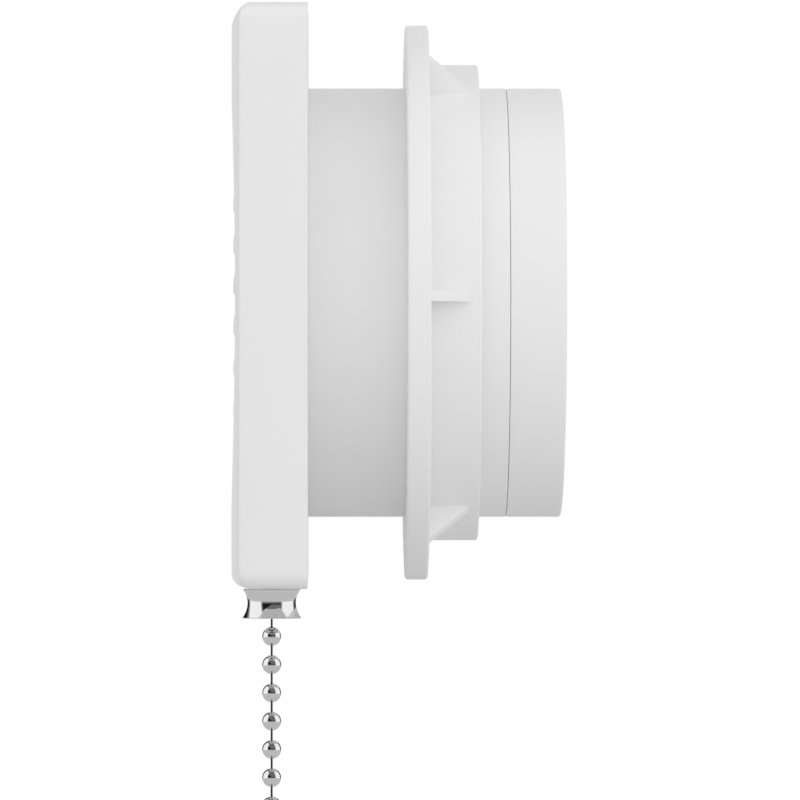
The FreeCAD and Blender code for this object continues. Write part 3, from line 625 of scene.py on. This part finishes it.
def around_tree():
    """Copies of a shape at equal angles about the duct's axis."""
    nodes, given = shape_tree("Around the duct", Shape=OBJECT, Count=COUNT)
    points = nodes.node("GeometryNodePoints", inputs={"Count": given["Count"]})
    angle = nodes.node("GeometryNodeInputIndex") * (2 * math.pi) / given["Count"]
    return copies_tree(nodes, given, points, Rotation=nodes.joined(y=angle))


def slats_tree():
    """Straight unit bars, stacked, cut to the circle's width, arched and bowed with the cover."""
    nodes, given = shape_tree("Louvre slats", Shape=OBJECT, Count=COUNT, Lowest=SIZE,
                              Pitch=SIZE, Radius=SIZE, Arch=SIZE, Crown=SIZE)
    heights = nodes.node("GeometryNodeMeshLine", inputs={
        "Count": given["Count"], "Start Location": nodes.joined(z=given["Lowest"]),
        "Offset": nodes.joined(z=given["Pitch"])})
    bars = nodes.node("GeometryNodeInstanceOnPoints", inputs={
        "Points": heights, "Instance": template_shape(nodes, given["Shape"])})
    real = nodes.node("GeometryNodeRealizeInstances", inputs={"Geometry": bars})
    along, deep, up = nodes.split(nodes.node("GeometryNodeInputPosition"))
    bend = given["Arch"] / (given["Radius"] ** 2.0)
    middle = up * bend * 2.0 + 1.0
    room = (given["Radius"] ** 2.0) - (up ** 2.0)
    inside = (middle ** 2.0 + bend * bend * room * 4.0).least(0.0)
    square = (inside.root() - middle) / (bend * bend * 2.0)
    across = along * square.least(0.0).root()
    lifted = across ** 2.0
    bowed = nodes.node("GeometryNodeSetPosition", inputs={
        "Geometry": real,
        "Position": nodes.joined(across, deep + given["Crown"] * lifted, up + bend * lifted)})
    return end_tree(nodes, given, bowed)


def chain_tree():
    """Copies of a shape at an even pitch along a curve."""
    nodes, given = shape_tree("Along a chain", Route=OBJECT, Shape=OBJECT, Count=COUNT,
                              First=SIZE, Pitch=SIZE)
    far = given["First"] + nodes.node("GeometryNodeInputIndex") * given["Pitch"]
    sample = nodes.node("GeometryNodeSampleCurve", {"mode": "LENGTH"}, {
        "Curves": template_shape(nodes, given["Route"]), "Length": far}, "Position")
    points = nodes.node("GeometryNodePoints", inputs={"Count": given["Count"], "Position": sample})
    facing = nodes.node("FunctionNodeAlignRotationToVector", {"axis": "Z"},
                        {"Vector": nodes.of(sample, "Tangent")})
    return copies_tree(nodes, given, points, Rotation=facing)


def line_tree():
    """Copies of a shape along a straight line."""
    nodes, given = shape_tree("Along a line", Shape=OBJECT, Count=COUNT, Start=VECTOR, Step=VECTOR)
    line = nodes.node("GeometryNodeMeshLine", inputs={
        "Count": given["Count"], "Start Location": given["Start"], "Offset": given["Step"]})
    return copies_tree(nodes, given, line)


def grown(name, tree, slot, shape, **inputs):
    """A plain mesh piece that a node tree grows from a shape, which is then removed."""
    inputs.update(Shape=shape, Finish=FINISHES[slot])
    piece = linked(name, bpy.data.meshes.new(name))
    growth = piece.modifiers.new("Growth", "NODES")
    growth.node_group = tree
    for socket in tree.interface.items_tree:
        if socket.in_out == "INPUT":
            growth[socket.identifier] = inputs[socket.name]
    applied(piece)
    bpy.data.objects.remove(shape)
    return piece


# ---- the studio ----

CAMERA_PLACE = Vector((1.734, 0.00035, -0.0461))
CAMERA_TARGET = Vector((0.0, 0.0212, -0.0225))
CAMERA_LENS = 337.5
FLOOR_DROP = 0.06       # below the lowest piece
FLOOR_R = 1.4


def band(value, start, end):
    """1 between two soft edges."""
    return value.step(*start) * (1.0 - value.step(*end))


def studio_world(nodes):
    """White behind, soft light, and a room of panels that only reflections show.

    Directions are in radians: turn from the near side, rise from the horizon."""
    x, y, z = nodes.split(nodes.node("ShaderNodeTexCoord"))
    turn = y.math("ARCTAN2", y, x).size()
    rise = z.math("ARCSINE", z)
    # Light on the mouldings: most from the near side, level, and along the duct.
    level = (1.0 - z.size() * 2.0).least(0.0)
    soft = x * 0.28 + level * 0.17 - z.least(0.0) * 0.07 + 0.79
    soft = soft * (1.0 + y * 0.06 + y * y * 0.16)
    # The room in reflections: dim, lighter below, with bright panels beside and behind.
    low_side = 1.0 - z.step(-0.30, 0.02)
    room = 0.15 + low_side * 0.20 - turn.step(2.25, 2.45) * 0.15
    panel = band(turn, (0.80, 0.95), (2.05, 2.25)) * band(rise, (-0.22, -0.10), (0.95, 1.10))
    behind = turn.step(2.70, 2.85) * (1.0 - rise.size().step(0.55, 0.80))
    # A dark slot on the near side, taller towards the cover.
    lid = (y * -1.0).least(0.0) * 0.9 + 0.10
    slot = rise.step(-0.02, 0.02) * (1.0 - (rise - lid).step(0.0, 0.05))
    slot = slot * (1.0 - turn.step(0.72, 0.80))
    bright = room * (1.0 - slot * 0.95) * (1.0 - panel) + panel + behind
    seen = nodes.node("ShaderNodeLightPath", output="Is Camera Ray")
    gloss = nodes.of(seen, "Is Glossy Ray")
    light = soft * (1.0 - gloss) + bright * gloss
    sky = nodes.node("ShaderNodeBackground", inputs={
        "Color": (1.0, 1.0, 1.0, 1.0), "Strength": light * (1.0 - seen) + seen})
    nodes.node("ShaderNodeOutputWorld", inputs={"Surface": sky})


class FAN_OT_stage(Operator):
    """Set the camera, the soft studio light and the pale floor"""
    bl_idname = "fan.stage"
    bl_label = "Camera and Studio"

    def execute(self, context):
        scene = context.scene
        scene.view_settings.view_transform = "Standard"
        lens = bpy.data.cameras.new("Camera")
        lens.lens = CAMERA_LENS
        lens.sensor_width = 36.0
        lens.clip_end = 20.0
        camera = linked("Camera", lens)
        camera.location = CAMERA_PLACE
        camera.rotation_euler = (CAMERA_TARGET - CAMERA_PLACE).to_track_quat("-Z", "Y").to_euler()
        scene.camera = camera
        world = bpy.data.worlds.new("Studio")
        world.use_nodes = True
        world.node_tree.nodes.clear()
        studio_world(Nodes(world.node_tree))
        scene.world = world
        make_finishes(scene.fan_finish)
        self.floor(scene)
        return {"FINISHED"}

    def floor(self, scene):
        base = tuple(scene.fan_finish.floor)
        paint = Paint("studio_floor")
        mottle = paint.noise(3.0, 3.0)
        FINISHES["floor"] = paint.finish(
            Base_Color=paint.tint(mottle, base, 0.985, 1.015),
            Roughness=mottle * 0.1 + 0.7)
        bm = bmesh.new()
        place = Matrix.Translation((0.0, 0.0, CAD_BOUNDS[0][2] - FLOOR_DROP))
        bmesh.ops.create_circle(bm, cap_ends=True, segments=FINE * 2, radius=FLOOR_R, matrix=place)
        new_piece("studio_floor", bm, "floor")


# ---- the pull chain ----

def route_points():
    """The chain's straight drop from the drum to the knob."""
    place, bell = middle("pull_chain"), low("chain_ferrule").z
    top, bottom = high("pull_chain").z, low("pull_chain").z
    return [Vector((place.x, place.y, z)) for z in (top, bell, (bell + bottom) / 2, bottom)]


def bead_template(settings):
    """A hollow pressed bead, its two holes drawn in round the link."""
    r = settings.bead
    hole = settings.link * 1.3
    top = math.sqrt(r * r - (hole * 1.2) ** 2)
    edge, floor = top - 0.10 * MM, top - 0.32 * MM
    steps, off_pole = 11, 0.985
    half = [(0.0, floor), (hole, floor), (hole, edge)]
    for i in range(1, steps + 1):
        angle = math.pi / 2 * (1 - i / steps) * off_pole
        half.append((r * math.cos(angle), min(top, r * math.sin(angle))))
    return turned("bead", "chrome", both_ways(half), "Z", count=28)


def link_template(settings):
    """The dumbbell wire between two beads."""
    half = settings.pitch / 2 - settings.bead * 0.55
    r = settings.link
    head = r * 1.6
    outline = [(0.0, half), (head, half - r * 0.4), (head, half - head), (r, half - r * 2.2)]
    return turned("link", "chrome", both_ways(outline), "Z", count=12)


def both_ways(half):
    """An outline's upper half, carried on as its own reflection."""
    return half + [(radius, -height) for radius, height in half[::-1] if height]


class FAN_OT_pull_chain(Operator):
    """Build the ball chain and the knob on its end"""
    bl_idname = "fan.pull_chain"
    bl_label = "Pull Chain"

    def execute(self, context):
        settings = context.scene.fan_chain
        points = route_points()
        guide = guide_curve("chain_route", points, "NURBS")
        route = guide.data.splines[0]
        route.resolution_u = 24
        route.order_u = 3
        route.use_endpoint_u = True
        path = [tuple(v.co) for v in traced(guide).vertices]
        reach = points[0].z - points[-1].z
        first, pitch = settings.first, settings.pitch
        count = int((reach - first) / pitch) + 1
        tree = chain_tree()
        chain = grown("ball_chain", tree, "chrome", bead_template(settings),
                      Route=guide, Count=count, First=first, Pitch=pitch)
        links = grown("chain_links", tree, "link_wire", link_template(settings),
                      Route=guide, Count=count - 1, First=first + pitch / 2, Pitch=pitch)
        bpy.data.objects.remove(guide)
        knob = pull_knob()
        placed(chain, "chrome", "pull_chain", body="chain")
        placed(links, "chrome", body="chain")
        placed(knob, GLOSS, "chain_knob", body="chain")
        return {"FINISHED"}


def pull_knob():
    """A tapered acorn knob with a waist under its collar and a drawn-in base."""
    knob_low, knob_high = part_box("chain_knob")
    r = (knob_high.x - knob_low.x) / 2
    top, bottom = knob_high.z, knob_low.z
    tall = top - bottom
    hole, collar, waist, shoulder = 1.0 * MM, 3.1 * MM, 2.6 * MM, 3.4 * MM
    outline = rounded([
        (hole, top - 1.2 * MM, 0.0), (hole + 0.2 * MM, top, 0.3 * MM),
        (collar - 0.2 * MM, top, 0.6 * MM), (collar, top - 2.4 * MM, 0.4 * MM),
        (waist, top - 3.2 * MM, 0.8 * MM), (shoulder, top - 0.36 * tall, 9 * MM),
        (r, bottom + 0.16 * tall, 3.2 * MM), (r - 1.1 * MM, bottom, 1.6 * MM),
        (hole + 0.5 * MM, bottom, 0.3 * MM), (hole + 0.3 * MM, bottom + 0.9 * MM, 0.2 * MM)])
    place = middle("chain_knob")
    closed = [(0.0, outline[0][1])] + outline + [(0.0, outline[-1][1])]
    return turned("pull_knob", GLOSS, closed, "Z", (place.x, place.y), FINE)


class FAN_OT_ferrule(Operator):
    """Build the waisted chrome bell that the chain runs through"""
    bl_idname = "fan.ferrule"
    bl_label = "Chrome Bell"

    def execute(self, context):
        bell_low, bell_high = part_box("chain_ferrule")
        mouth = (bell_high.x - bell_low.x) / 2
        crest, top, bottom = bell_high.z, low("front_cover").z - 0.1 * MM, bell_low.z
        waist, brim, shank, bore = 5.5 * MM, 6.5 * MM, 4.0 * MM, 2.7 * MM
        edge, break_edge = 0.15 * MM, 0.2 * MM
        sag = (top - bottom) * 0.43
        outline = [(bore, crest), (shank - break_edge, crest), (shank, crest - break_edge),
                   (shank, top), (brim - 0.1 * MM, top),
                   *waisted(brim, top - edge, waist, top - sag, mouth, bottom + edge),
                   (mouth - 0.1 * MM, bottom), (mouth - 0.5 * MM, bottom + 0.02 * MM),
                   (mouth - 0.9 * MM, bottom + 0.5 * MM), (bore + 1.2 * MM, bottom + 2.6 * MM),
                   (bore, bottom + 4.0 * MM)]
        centre = (middle("chain_ferrule").x, middle("pull_chain").y)
        bell = turned("chain_bell", "chrome", outline, "Z", centre, count=96)
        placed(bell, "chrome", "chain_ferrule")
        return {"FINISHED"}


def waisted(r0, z0, r1, z1, r2, z2, steps=22):
    """Points of a smooth concave side through three (radius, height) places."""
    points = []
    for i in range(steps + 1):
        t = i / steps
        z = z0 + (z2 - z0) * t
        first = (z - z1) * (z - z2) / ((z0 - z1) * (z0 - z2))
        second = (z - z0) * (z - z2) / ((z1 - z0) * (z1 - z2))
        third = (z - z0) * (z - z1) / ((z2 - z0) * (z2 - z1))
        points.append((r0 * first + r1 * second + r2 * third, z))
    return points


# ---- cover and grille ----

def square_path(half, corner, side_steps=44, corner_steps=12):
    """(place, outward) pairs round a rounded square in the XZ plane."""
    path = []
    run = half - corner
    for quarter in range(4):
        turn = Matrix.Rotation(quarter * math.pi / 2, 2)
        for i in range(side_steps):
            z = -run + 2 * run * i / side_steps
            path.append((turn @ Vector((half, z)), turn @ Vector((1.0, 0.0))))
        for i in range(corner_steps):
            angle = math.pi / 2 * i / corner_steps
            outward = Vector((math.cos(angle), math.sin(angle)))
            path.append((turn @ (Vector((run, run)) + outward * corner), turn @ outward))
    return path


def quarter(steps, first=0):
    """(sine, cosine) at even steps through a quarter turn."""
    angles = [math.pi / 2 * i / steps for i in range(first, steps + 1)]
    return [(math.sin(angle), math.cos(angle)) for angle in angles]


def cover_profile(place, outward, cover, front, rear, half):
    """The closed section of the cover's wall at one place round it, as 3D points."""
    def bow(x):
        return front + cover.crown * (x / half) ** 2

    def on_square(inset, y=None, back=0.0):
        p = place - outward * inset
        return Vector((p.x, (bow(p.x) + back) if y is None else y, p.y))

    def on_circle(radius, back):
        p = place.normalized() * radius
        return Vector((p.x, bow(p.x) + back, p.y))

    def across(start, end, steps, back):
        places = [start.lerp(end, i / steps) for i in range(1, steps + 1)]
        return [Vector((p.x, bow(p.x) + back, p.z)) for p in places]

    edge = cover.side_round + (cover.top_round - cover.side_round) * outward.y ** 2
    ease, fillet = 0.35 * MM, 1.0 * MM
    wall, rim_r = cover.wall, cover.opening + ease
    back_circle = on_circle(cover.opening, wall)
    points = [on_square(cover.rear_round * (1 - sine), rear - cover.rear_round * (1 - cosine))
              for sine, cosine in quarter(3)]
    points += [on_square(edge * (1 - cosine), None, edge * (1 - sine))
               for sine, cosine in quarter(10)]
    points += across(on_square(edge), on_circle(rim_r, 0.0), 8, 0.0)
    points += [on_circle(rim_r - ease * sine, ease * (1 - cosine))
               for sine, cosine in quarter(4, first=1)]
    points.append(back_circle)
    points += across(back_circle, on_square(wall + fillet, None, wall), 4, wall)
    points += [on_square(wall, None, wall + fillet), on_square(wall, rear)]
    return points


class FAN_OT_front_cover(Operator):
    """Build the square bowed cover with its round opening, snap hooks and cord hole"""
    bl_idname = "fan.front_cover"
    bl_label = "Front Cover"

    def execute(self, context):
        cover = context.scene.fan_cover
        cover_low, cover_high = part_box("front_cover")
        half = cover_high.x
        bm = bmesh.new()
        rows = [[bm.verts.new(p) for p in
                 cover_profile(place, outward, cover, cover_low.y, cover_high.y, half)]
                for place, outward in square_path(half, cover.corner)]
        rows_to_faces(bm, rows, closed=True)
        shell = new_piece("front_cover_shell", bm, GLOSS)
        chain, hole_r, past = middle("pull_chain"), 4.1 * MM, 4 * MM
        ends = [Vector((chain.x, chain.y, cover_low.z + z)) for z in (-past, past)]
        drilled(shell, [ends], hole_r, count=48)
        placed(shell, GLOSS, "front_cover")
        root, tip = half - cover.wall + 0.5 * MM, half - cover.wall - 1.5 * MM
        front, catch, ramp = -4.6 * MM, -4.0 * MM, -3.2 * MM
        section = rounded([(tip, front, 0.3 * MM), (tip, catch, 0.2 * MM), (root, ramp, 0.0),
                           (root, front, 0.0)], 3)
        hook = slab("hook", GLOSS, section, half_width=4.5 * MM, edge=0.2 * MM)
        hooks = grown("cover_hooks", around_tree(), GLOSS, hook, Count=4)
        placed(hooks, GLOSS)
        return {"FINISHED"}


class FAN_OT_grille(Operator):
    """Build the round grille: its rim, arched slats and two ribs"""
    bl_idname = "fan.grille"
    bl_label = "Louvred Grille"

    def execute(self, context):
        grille, cover = context.scene.fan_grille, context.scene.fan_cover
        self.half = high("front_cover").x
        self.front = low("front_cover").y + grille.recess
        self.back = high("front_grille").y
        self.outer = cover.opening - 0.1 * MM
        self.crown = cover.crown
        placed(self.rim(grille), GLOSS, "front_grille")
        placed(self.slats(grille), GLOSS)
        placed(self.ribs(), GLOSS)
        return {"FINISHED"}

    def bow(self, x):
        return self.crown * (x / self.half) ** 2

    def rim(self, grille):
        """A ring that follows the cover's bow, with a flange behind the cover's wall."""
        r, inner = self.outer, self.outer - grille.rim
        flange, reach = self.back - 1.2 * MM, self.outer + 2.3 * MM
        outline = rounded([(inner, self.back, 0.0), (inner, self.front, 0.3 * MM),
                           (r, self.front, 0.25 * MM), (r, flange, 0.0),
                           (reach, flange, 0.2 * MM), (reach, self.back, 0.2 * MM)], 4)
        bm = bmesh.new()
        turned_into(bm, outline)
        for vert in bm.verts:
            if vert.co.y < flange - 0.5 * MM:
                vert.co.y += self.bow(vert.co.x)
        return new_piece("grille_rim", bm, GLOSS)

    def slats(self, grille):
        end_gap = 0.6 * MM
        lowest = -grille.pitch * (grille.count - 1) / 2 - grille.thick / 2 - grille.arch / 2
        return grown("grille_slats", slats_tree(), GLOSS, self.bar(grille),
                     Count=grille.count, Lowest=lowest, Pitch=grille.pitch,
                     Radius=self.outer - end_gap, Arch=grille.arch,
                     Crown=self.crown / self.half ** 2)

    def bar(self, grille):
        """A straight slat from -1 to 1 along X, sloped up towards its back."""
        set_back, edge, rear_edge, steps = 0.15 * MM, 0.45 * MM, 0.3 * MM, 40
        front = self.front + set_back
        rear = front + grille.depth
        section = rounded([
            (front, 0.0, edge), (front, grille.thick, edge),
            (rear, grille.thick + grille.slope - 0.5 * MM, rear_edge),
            (rear, grille.slope + 0.2 * MM, rear_edge)], 4)
        bm = bmesh.new()
        ends_closed(bm, [[bm.verts.new((-1.0 + 2.0 * i / steps, y, z)) for y, z in section]
                         for i in range(steps + 1)])
        return new_piece("bar", bm, GLOSS)

    def ribs(self):
        """Two upright ribs behind the slats."""
        half, deep, edge = 0.9 * MM, 2.4 * MM, 0.3 * MM
        reach, rib_x = self.outer - 1.2 * MM, 16.0 * MM
        bm = bmesh.new()
        for x in (-rib_x, rib_x):
            upright_into(bm, x, half, (self.back - deep, edge), (self.back, edge),
                         math.sqrt(reach ** 2 - x ** 2), 3)
        return new_piece("grille_ribs", bm, GLOSS)


# ---- duct ----

class FAN_OT_duct_tube(Operator):
    """Build the duct tube with its bell-mouthed lip and the two lead holes"""
    bl_idname = "fan.duct_tube"
    bl_label = "Duct Tube"

    def execute(self, context):
        tube_low, tube_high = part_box("duct_tube")
        outer = high("rear_ring").x
        bore = outer - 2.1 * MM
        front, rear = tube_low.y, tube_high.y
        lip_r, lip = tube_high.x, front + 1.4 * MM
        outline = rounded([
            (bore, front + 1.6 * MM, 2.0 * MM), (bore + 1.3 * MM, front, 0.5 * MM),
            (lip_r, front, 0.4 * MM), (lip_r, lip, 0.4 * MM), (outer, lip, 0.6 * MM),
            (outer, rear, 0.12 * MM), (bore, rear, 0.3 * MM)], 5)
        tube = turned("duct_tube_wall", SATIN, outline)
        hole_r, offset, past, slope = 1.2 * MM, 2.6 * MM, 4 * MM, math.sqrt(0.5)
        holes = []
        for lead in ("switched_lead", "neutral_lead"):
            side = 1.0 if low(lead).x > 0 else -1.0
            slant = Vector((side * slope, 0.0, -slope))
            base = Vector((side * slope * offset, middle(lead).y, slope * offset))
            holes.append((base + slant * (bore - past), base + slant * (outer + past)))
        drilled(tube, holes, hole_r)
        placed(tube, SATIN, "duct_tube")
        return {"FINISHED"}


class FAN_OT_clamp_flange(Operator):
    """Build the sliding clamp flange with its collar and gussets"""
    bl_idname = "fan.clamp_flange"
    bl_label = "Clamp Flange"

    def execute(self, context):
        settings = context.scene.fan_flange
        flange_low, flange_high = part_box("clamp_flange")
        bore = high("rear_ring").x + 0.05 * MM
        r, front, rear = flange_high.z, flange_low.y, flange_high.y
        face = front + settings.disc
        collar, wall, soft = settings.collar, settings.collar_wall, settings.disc_round
        outline = rounded([
            (bore, front, 0.4 * MM), (r, front, soft), (r, face, soft), (collar, face, 0.5 * MM),
            (collar, rear, 0.5 * MM), (bore, rear, 0.3 * MM), (bore, rear - wall, 0.2 * MM),
            (collar - wall, rear - wall, 0.4 * MM), (collar - wall, face, 0.4 * MM),
            (bore, face, 0.3 * MM)], 5)
        disc = turned("clamp_flange_disc", SATIN, outline)
        placed(disc, SATIN, "clamp_flange", body="clamp_ring")
        reach, sink = r - collar, 0.5 * MM
        section = rounded([
            (collar - sink, face - sink, 0.0), (r - soft, face - sink, 0.0), (r - soft, face, 0.0),
            (collar + 0.15 * MM, face + reach, 0.2 * MM), (collar - sink, face + reach, 0.0)], 4)
        gusset = slab("gusset", SATIN, section, settings.gusset / 2, 0.12 * MM)
        gussets = grown("clamp_flange_gussets", around_tree(), SATIN, gusset,
                        Count=settings.count)
        placed(gussets, SATIN, body="clamp_ring")
        return {"FINISHED"}


class FAN_OT_rear_ring(Operator):
    """Build the rear ring with its spigot, flap seat and cross bar"""
    bl_idname = "fan.rear_ring"
    bl_label = "Rear Ring"

    def execute(self, context):
        ring_low, ring_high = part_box("rear_ring")
        front, rear, outer = ring_low.y, ring_high.y, ring_high.x
        bore = outer - 2.6 * MM
        seam = high("duct_tube").y + 0.12 * MM
        seat, ledge = seam + 2.0 * MM, bore - 2.4 * MM
        lead, lead_drop = 0.9 * MM, 0.11 * MM
        spigot = outer - 2.15 * MM
        inside = spigot - 1.6 * MM
        outline = rounded([
            (inside, front, 0.3 * MM), (spigot, front, 0.3 * MM), (spigot, seam, 0.0),
            (outer - lead_drop, seam, 0.1 * MM), (outer, seam + lead, 0.5 * MM),
            (outer, rear, 0.55 * MM), (bore, rear, 0.7 * MM), (bore, seat, 0.2 * MM),
            (ledge, seat, 0.3 * MM), (ledge, seam, 0.3 * MM), (inside, seam, 0.2 * MM)], 5)
        ring = turned("rear_ring_wall", SATIN, outline)
        pin_y, pin_end = middle("damper_pin").y, high("damper_pin").z
        pin_r, inset = 1.0 * MM, 2 * MM
        drilled(ring, [(Vector((0.0, pin_y, side * (bore - inset))),
                        Vector((0.0, pin_y, side * pin_end))) for side in (-1, 1)], pin_r)
        placed(ring, SATIN, "rear_ring")
        bm = bmesh.new()
        upright_into(bm, 0.0, 1.6 * MM, (seam, 0.3 * MM), (seat, 0.4 * MM), bore - inset, 4)
        placed(new_piece("rear_cross_bar", bm, SATIN), SATIN)
        return {"FINISHED"}


class FAN_OT_damper_springs(Operator):
    """Wind the two fine torsion springs on the flaps' pin"""
    bl_idname = "fan.damper_springs"
    bl_label = "Flap Springs"

    def execute(self, context):
        wire, tail, turns, steps = 0.2 * MM, 2.2 * MM, 4, 4 * 28
        pin = middle("damper_pin")
        for node, body, side in (("damper_spring_upper", "flap_right", 1),
                                 ("damper_spring_lower", "flap_left", -1)):
            spring_low, spring_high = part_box(node)
            radius = min(spring_high.y - pin.y, pin.y - spring_low.y) - wire
            bottom, top = spring_low.z + wire, spring_high.z - wire
            leg = spring_high.x if side > 0 else spring_low.x
            points = [Vector((leg, pin.y - radius, bottom))]
            for i in range(steps + 1):
                angle = -math.pi / 2 + side * 2 * math.pi * turns * i / steps
                x, y = radius * math.cos(angle), pin.y + radius * math.sin(angle)
                points.append(Vector((x, y, bottom + (top - bottom) * i / steps)))
            points.append(points[-1] - Vector((side * tail, 0.0, 0.0)))
            spring = wire_piece(node + "_coil", "spring_steel", points, wire, 3)
            placed(spring, "spring_steel", node, body=body)
        return {"FINISHED"}


class FAN_OT_windings(Operator):
    """Wind the two motor coils, a layer of turns at a time"""
    bl_idname = "fan.windings"
    bl_label = "Motor Windings"

    def execute(self, context):
        coil_low, coil_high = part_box("windings")
        wire, layers = 0.24 * MM, 4
        inner = min(v.co.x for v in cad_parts["windings"].data.vertices if v.co.x > 0)
        width = abs(coil_low.x) - inner
        half_y = (coil_high.y - coil_low.y) / 2
        half_z = (coil_high.z - coil_low.z) / 2
        count = int(width / (2 * wire))
        for side, hand in ((1, "right"), (-1, "left")):
            for layer in range(layers):
                inset = wire + layer * 2 * wire
                loop = self.loop(half_y - inset, half_z - inset, middle("windings").y, wire)
                name = "coil_%s_layer_%d" % (hand, layer + 1)
                coil = grown(name, line_tree(), "copper", loop, Count=count,
                             Start=(side * (inner + wire), 0.0, 0.0),
                             Step=(side * width / count, 0.0, 0.0))
                nodes = ["windings"] if name == "coil_right_layer_1" else []
                placed(coil, "copper", *nodes)
        return {"FINISHED"}

    def loop(self, half_y, half_z, middle_y, wire):
        """One turn round the pole, as a closed ring of round wire."""
        corner, facets = 2.0 * MM, 6
        outline = rounded([(-half_y, -half_z, corner), (half_y, -half_z, corner),
                           (half_y, half_z, corner), (-half_y, half_z, corner)], 4)
        bm = bmesh.new()
        rows = []
        for i, (y, z) in enumerate(outline):
            before, after = Vector(outline[i - 1]), Vector(outline[(i + 1) % len(outline)])
            tangent = (after - before).normalized()
            outward = Vector((tangent.y, -tangent.x))
            ring = []
            for j in range(facets):
                angle = 2 * math.pi * j / facets
                p = Vector((y, z)) + outward * wire * math.cos(angle)
                ring.append(bm.verts.new((wire * math.sin(angle), middle_y + p.x, p.y)))
            rows.append(ring)
        rows_to_faces(bm, rows, closed=True)
        return new_piece("turn", bm, "copper")


class FAN_OT_finish_nodes(Operator):
    """Give every carried-over piece its finish"""
    bl_idname = "fan.finish_nodes"
    bl_label = "Finishes"

    def execute(self, context):
        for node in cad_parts.values():
            slot = node.data.materials[0].name
            node.data.materials.clear()
            node.data.materials.append(FINISHES[slot])
        return {"FINISHED"}


class FAN_PT_panel(Panel):
    """Sizes, colours and the operators that build the fan"""
    bl_idname = "FAN_PT_panel"
    bl_label = "Duct Fan"
    bl_space_type = "VIEW_3D"
    bl_region_type = "UI"
    bl_category = "Duct Fan"

    def draw(self, context):
        for name, kind in GROUPS.items():
            box = self.layout.box()
            box.label(text=kind.__doc__)
            settings = getattr(context.scene, name)
            for key in kind.__annotations__:
                box.prop(settings, key)
        for operator in OPERATORS:
            self.layout.operator(operator.bl_idname)


OPERATORS = (FAN_OT_stage, FAN_OT_pull_chain, FAN_OT_ferrule, FAN_OT_front_cover, FAN_OT_grille,
             FAN_OT_duct_tube, FAN_OT_clamp_flange, FAN_OT_rear_ring, FAN_OT_damper_springs,
             FAN_OT_windings, FAN_OT_finish_nodes)


def register():
    for kind in (*GROUPS.values(), *OPERATORS, FAN_PT_panel):
        bpy.utils.register_class(kind)
    for name, kind in GROUPS.items():
        setattr(bpy.types.Scene, name, bpy.props.PointerProperty(type=kind))


def unregister():
    for name in GROUPS:
        delattr(bpy.types.Scene, name)
    for kind in (FAN_PT_panel, *reversed(OPERATORS), *reversed(GROUPS.values())):
        bpy.utils.unregister_class(kind)


def main():
    register()
    for operator in OPERATORS:
        group, action = operator.bl_idname.split(".")
        getattr(getattr(bpy.ops, group), action)()


if __name__ == "__main__":
    main()
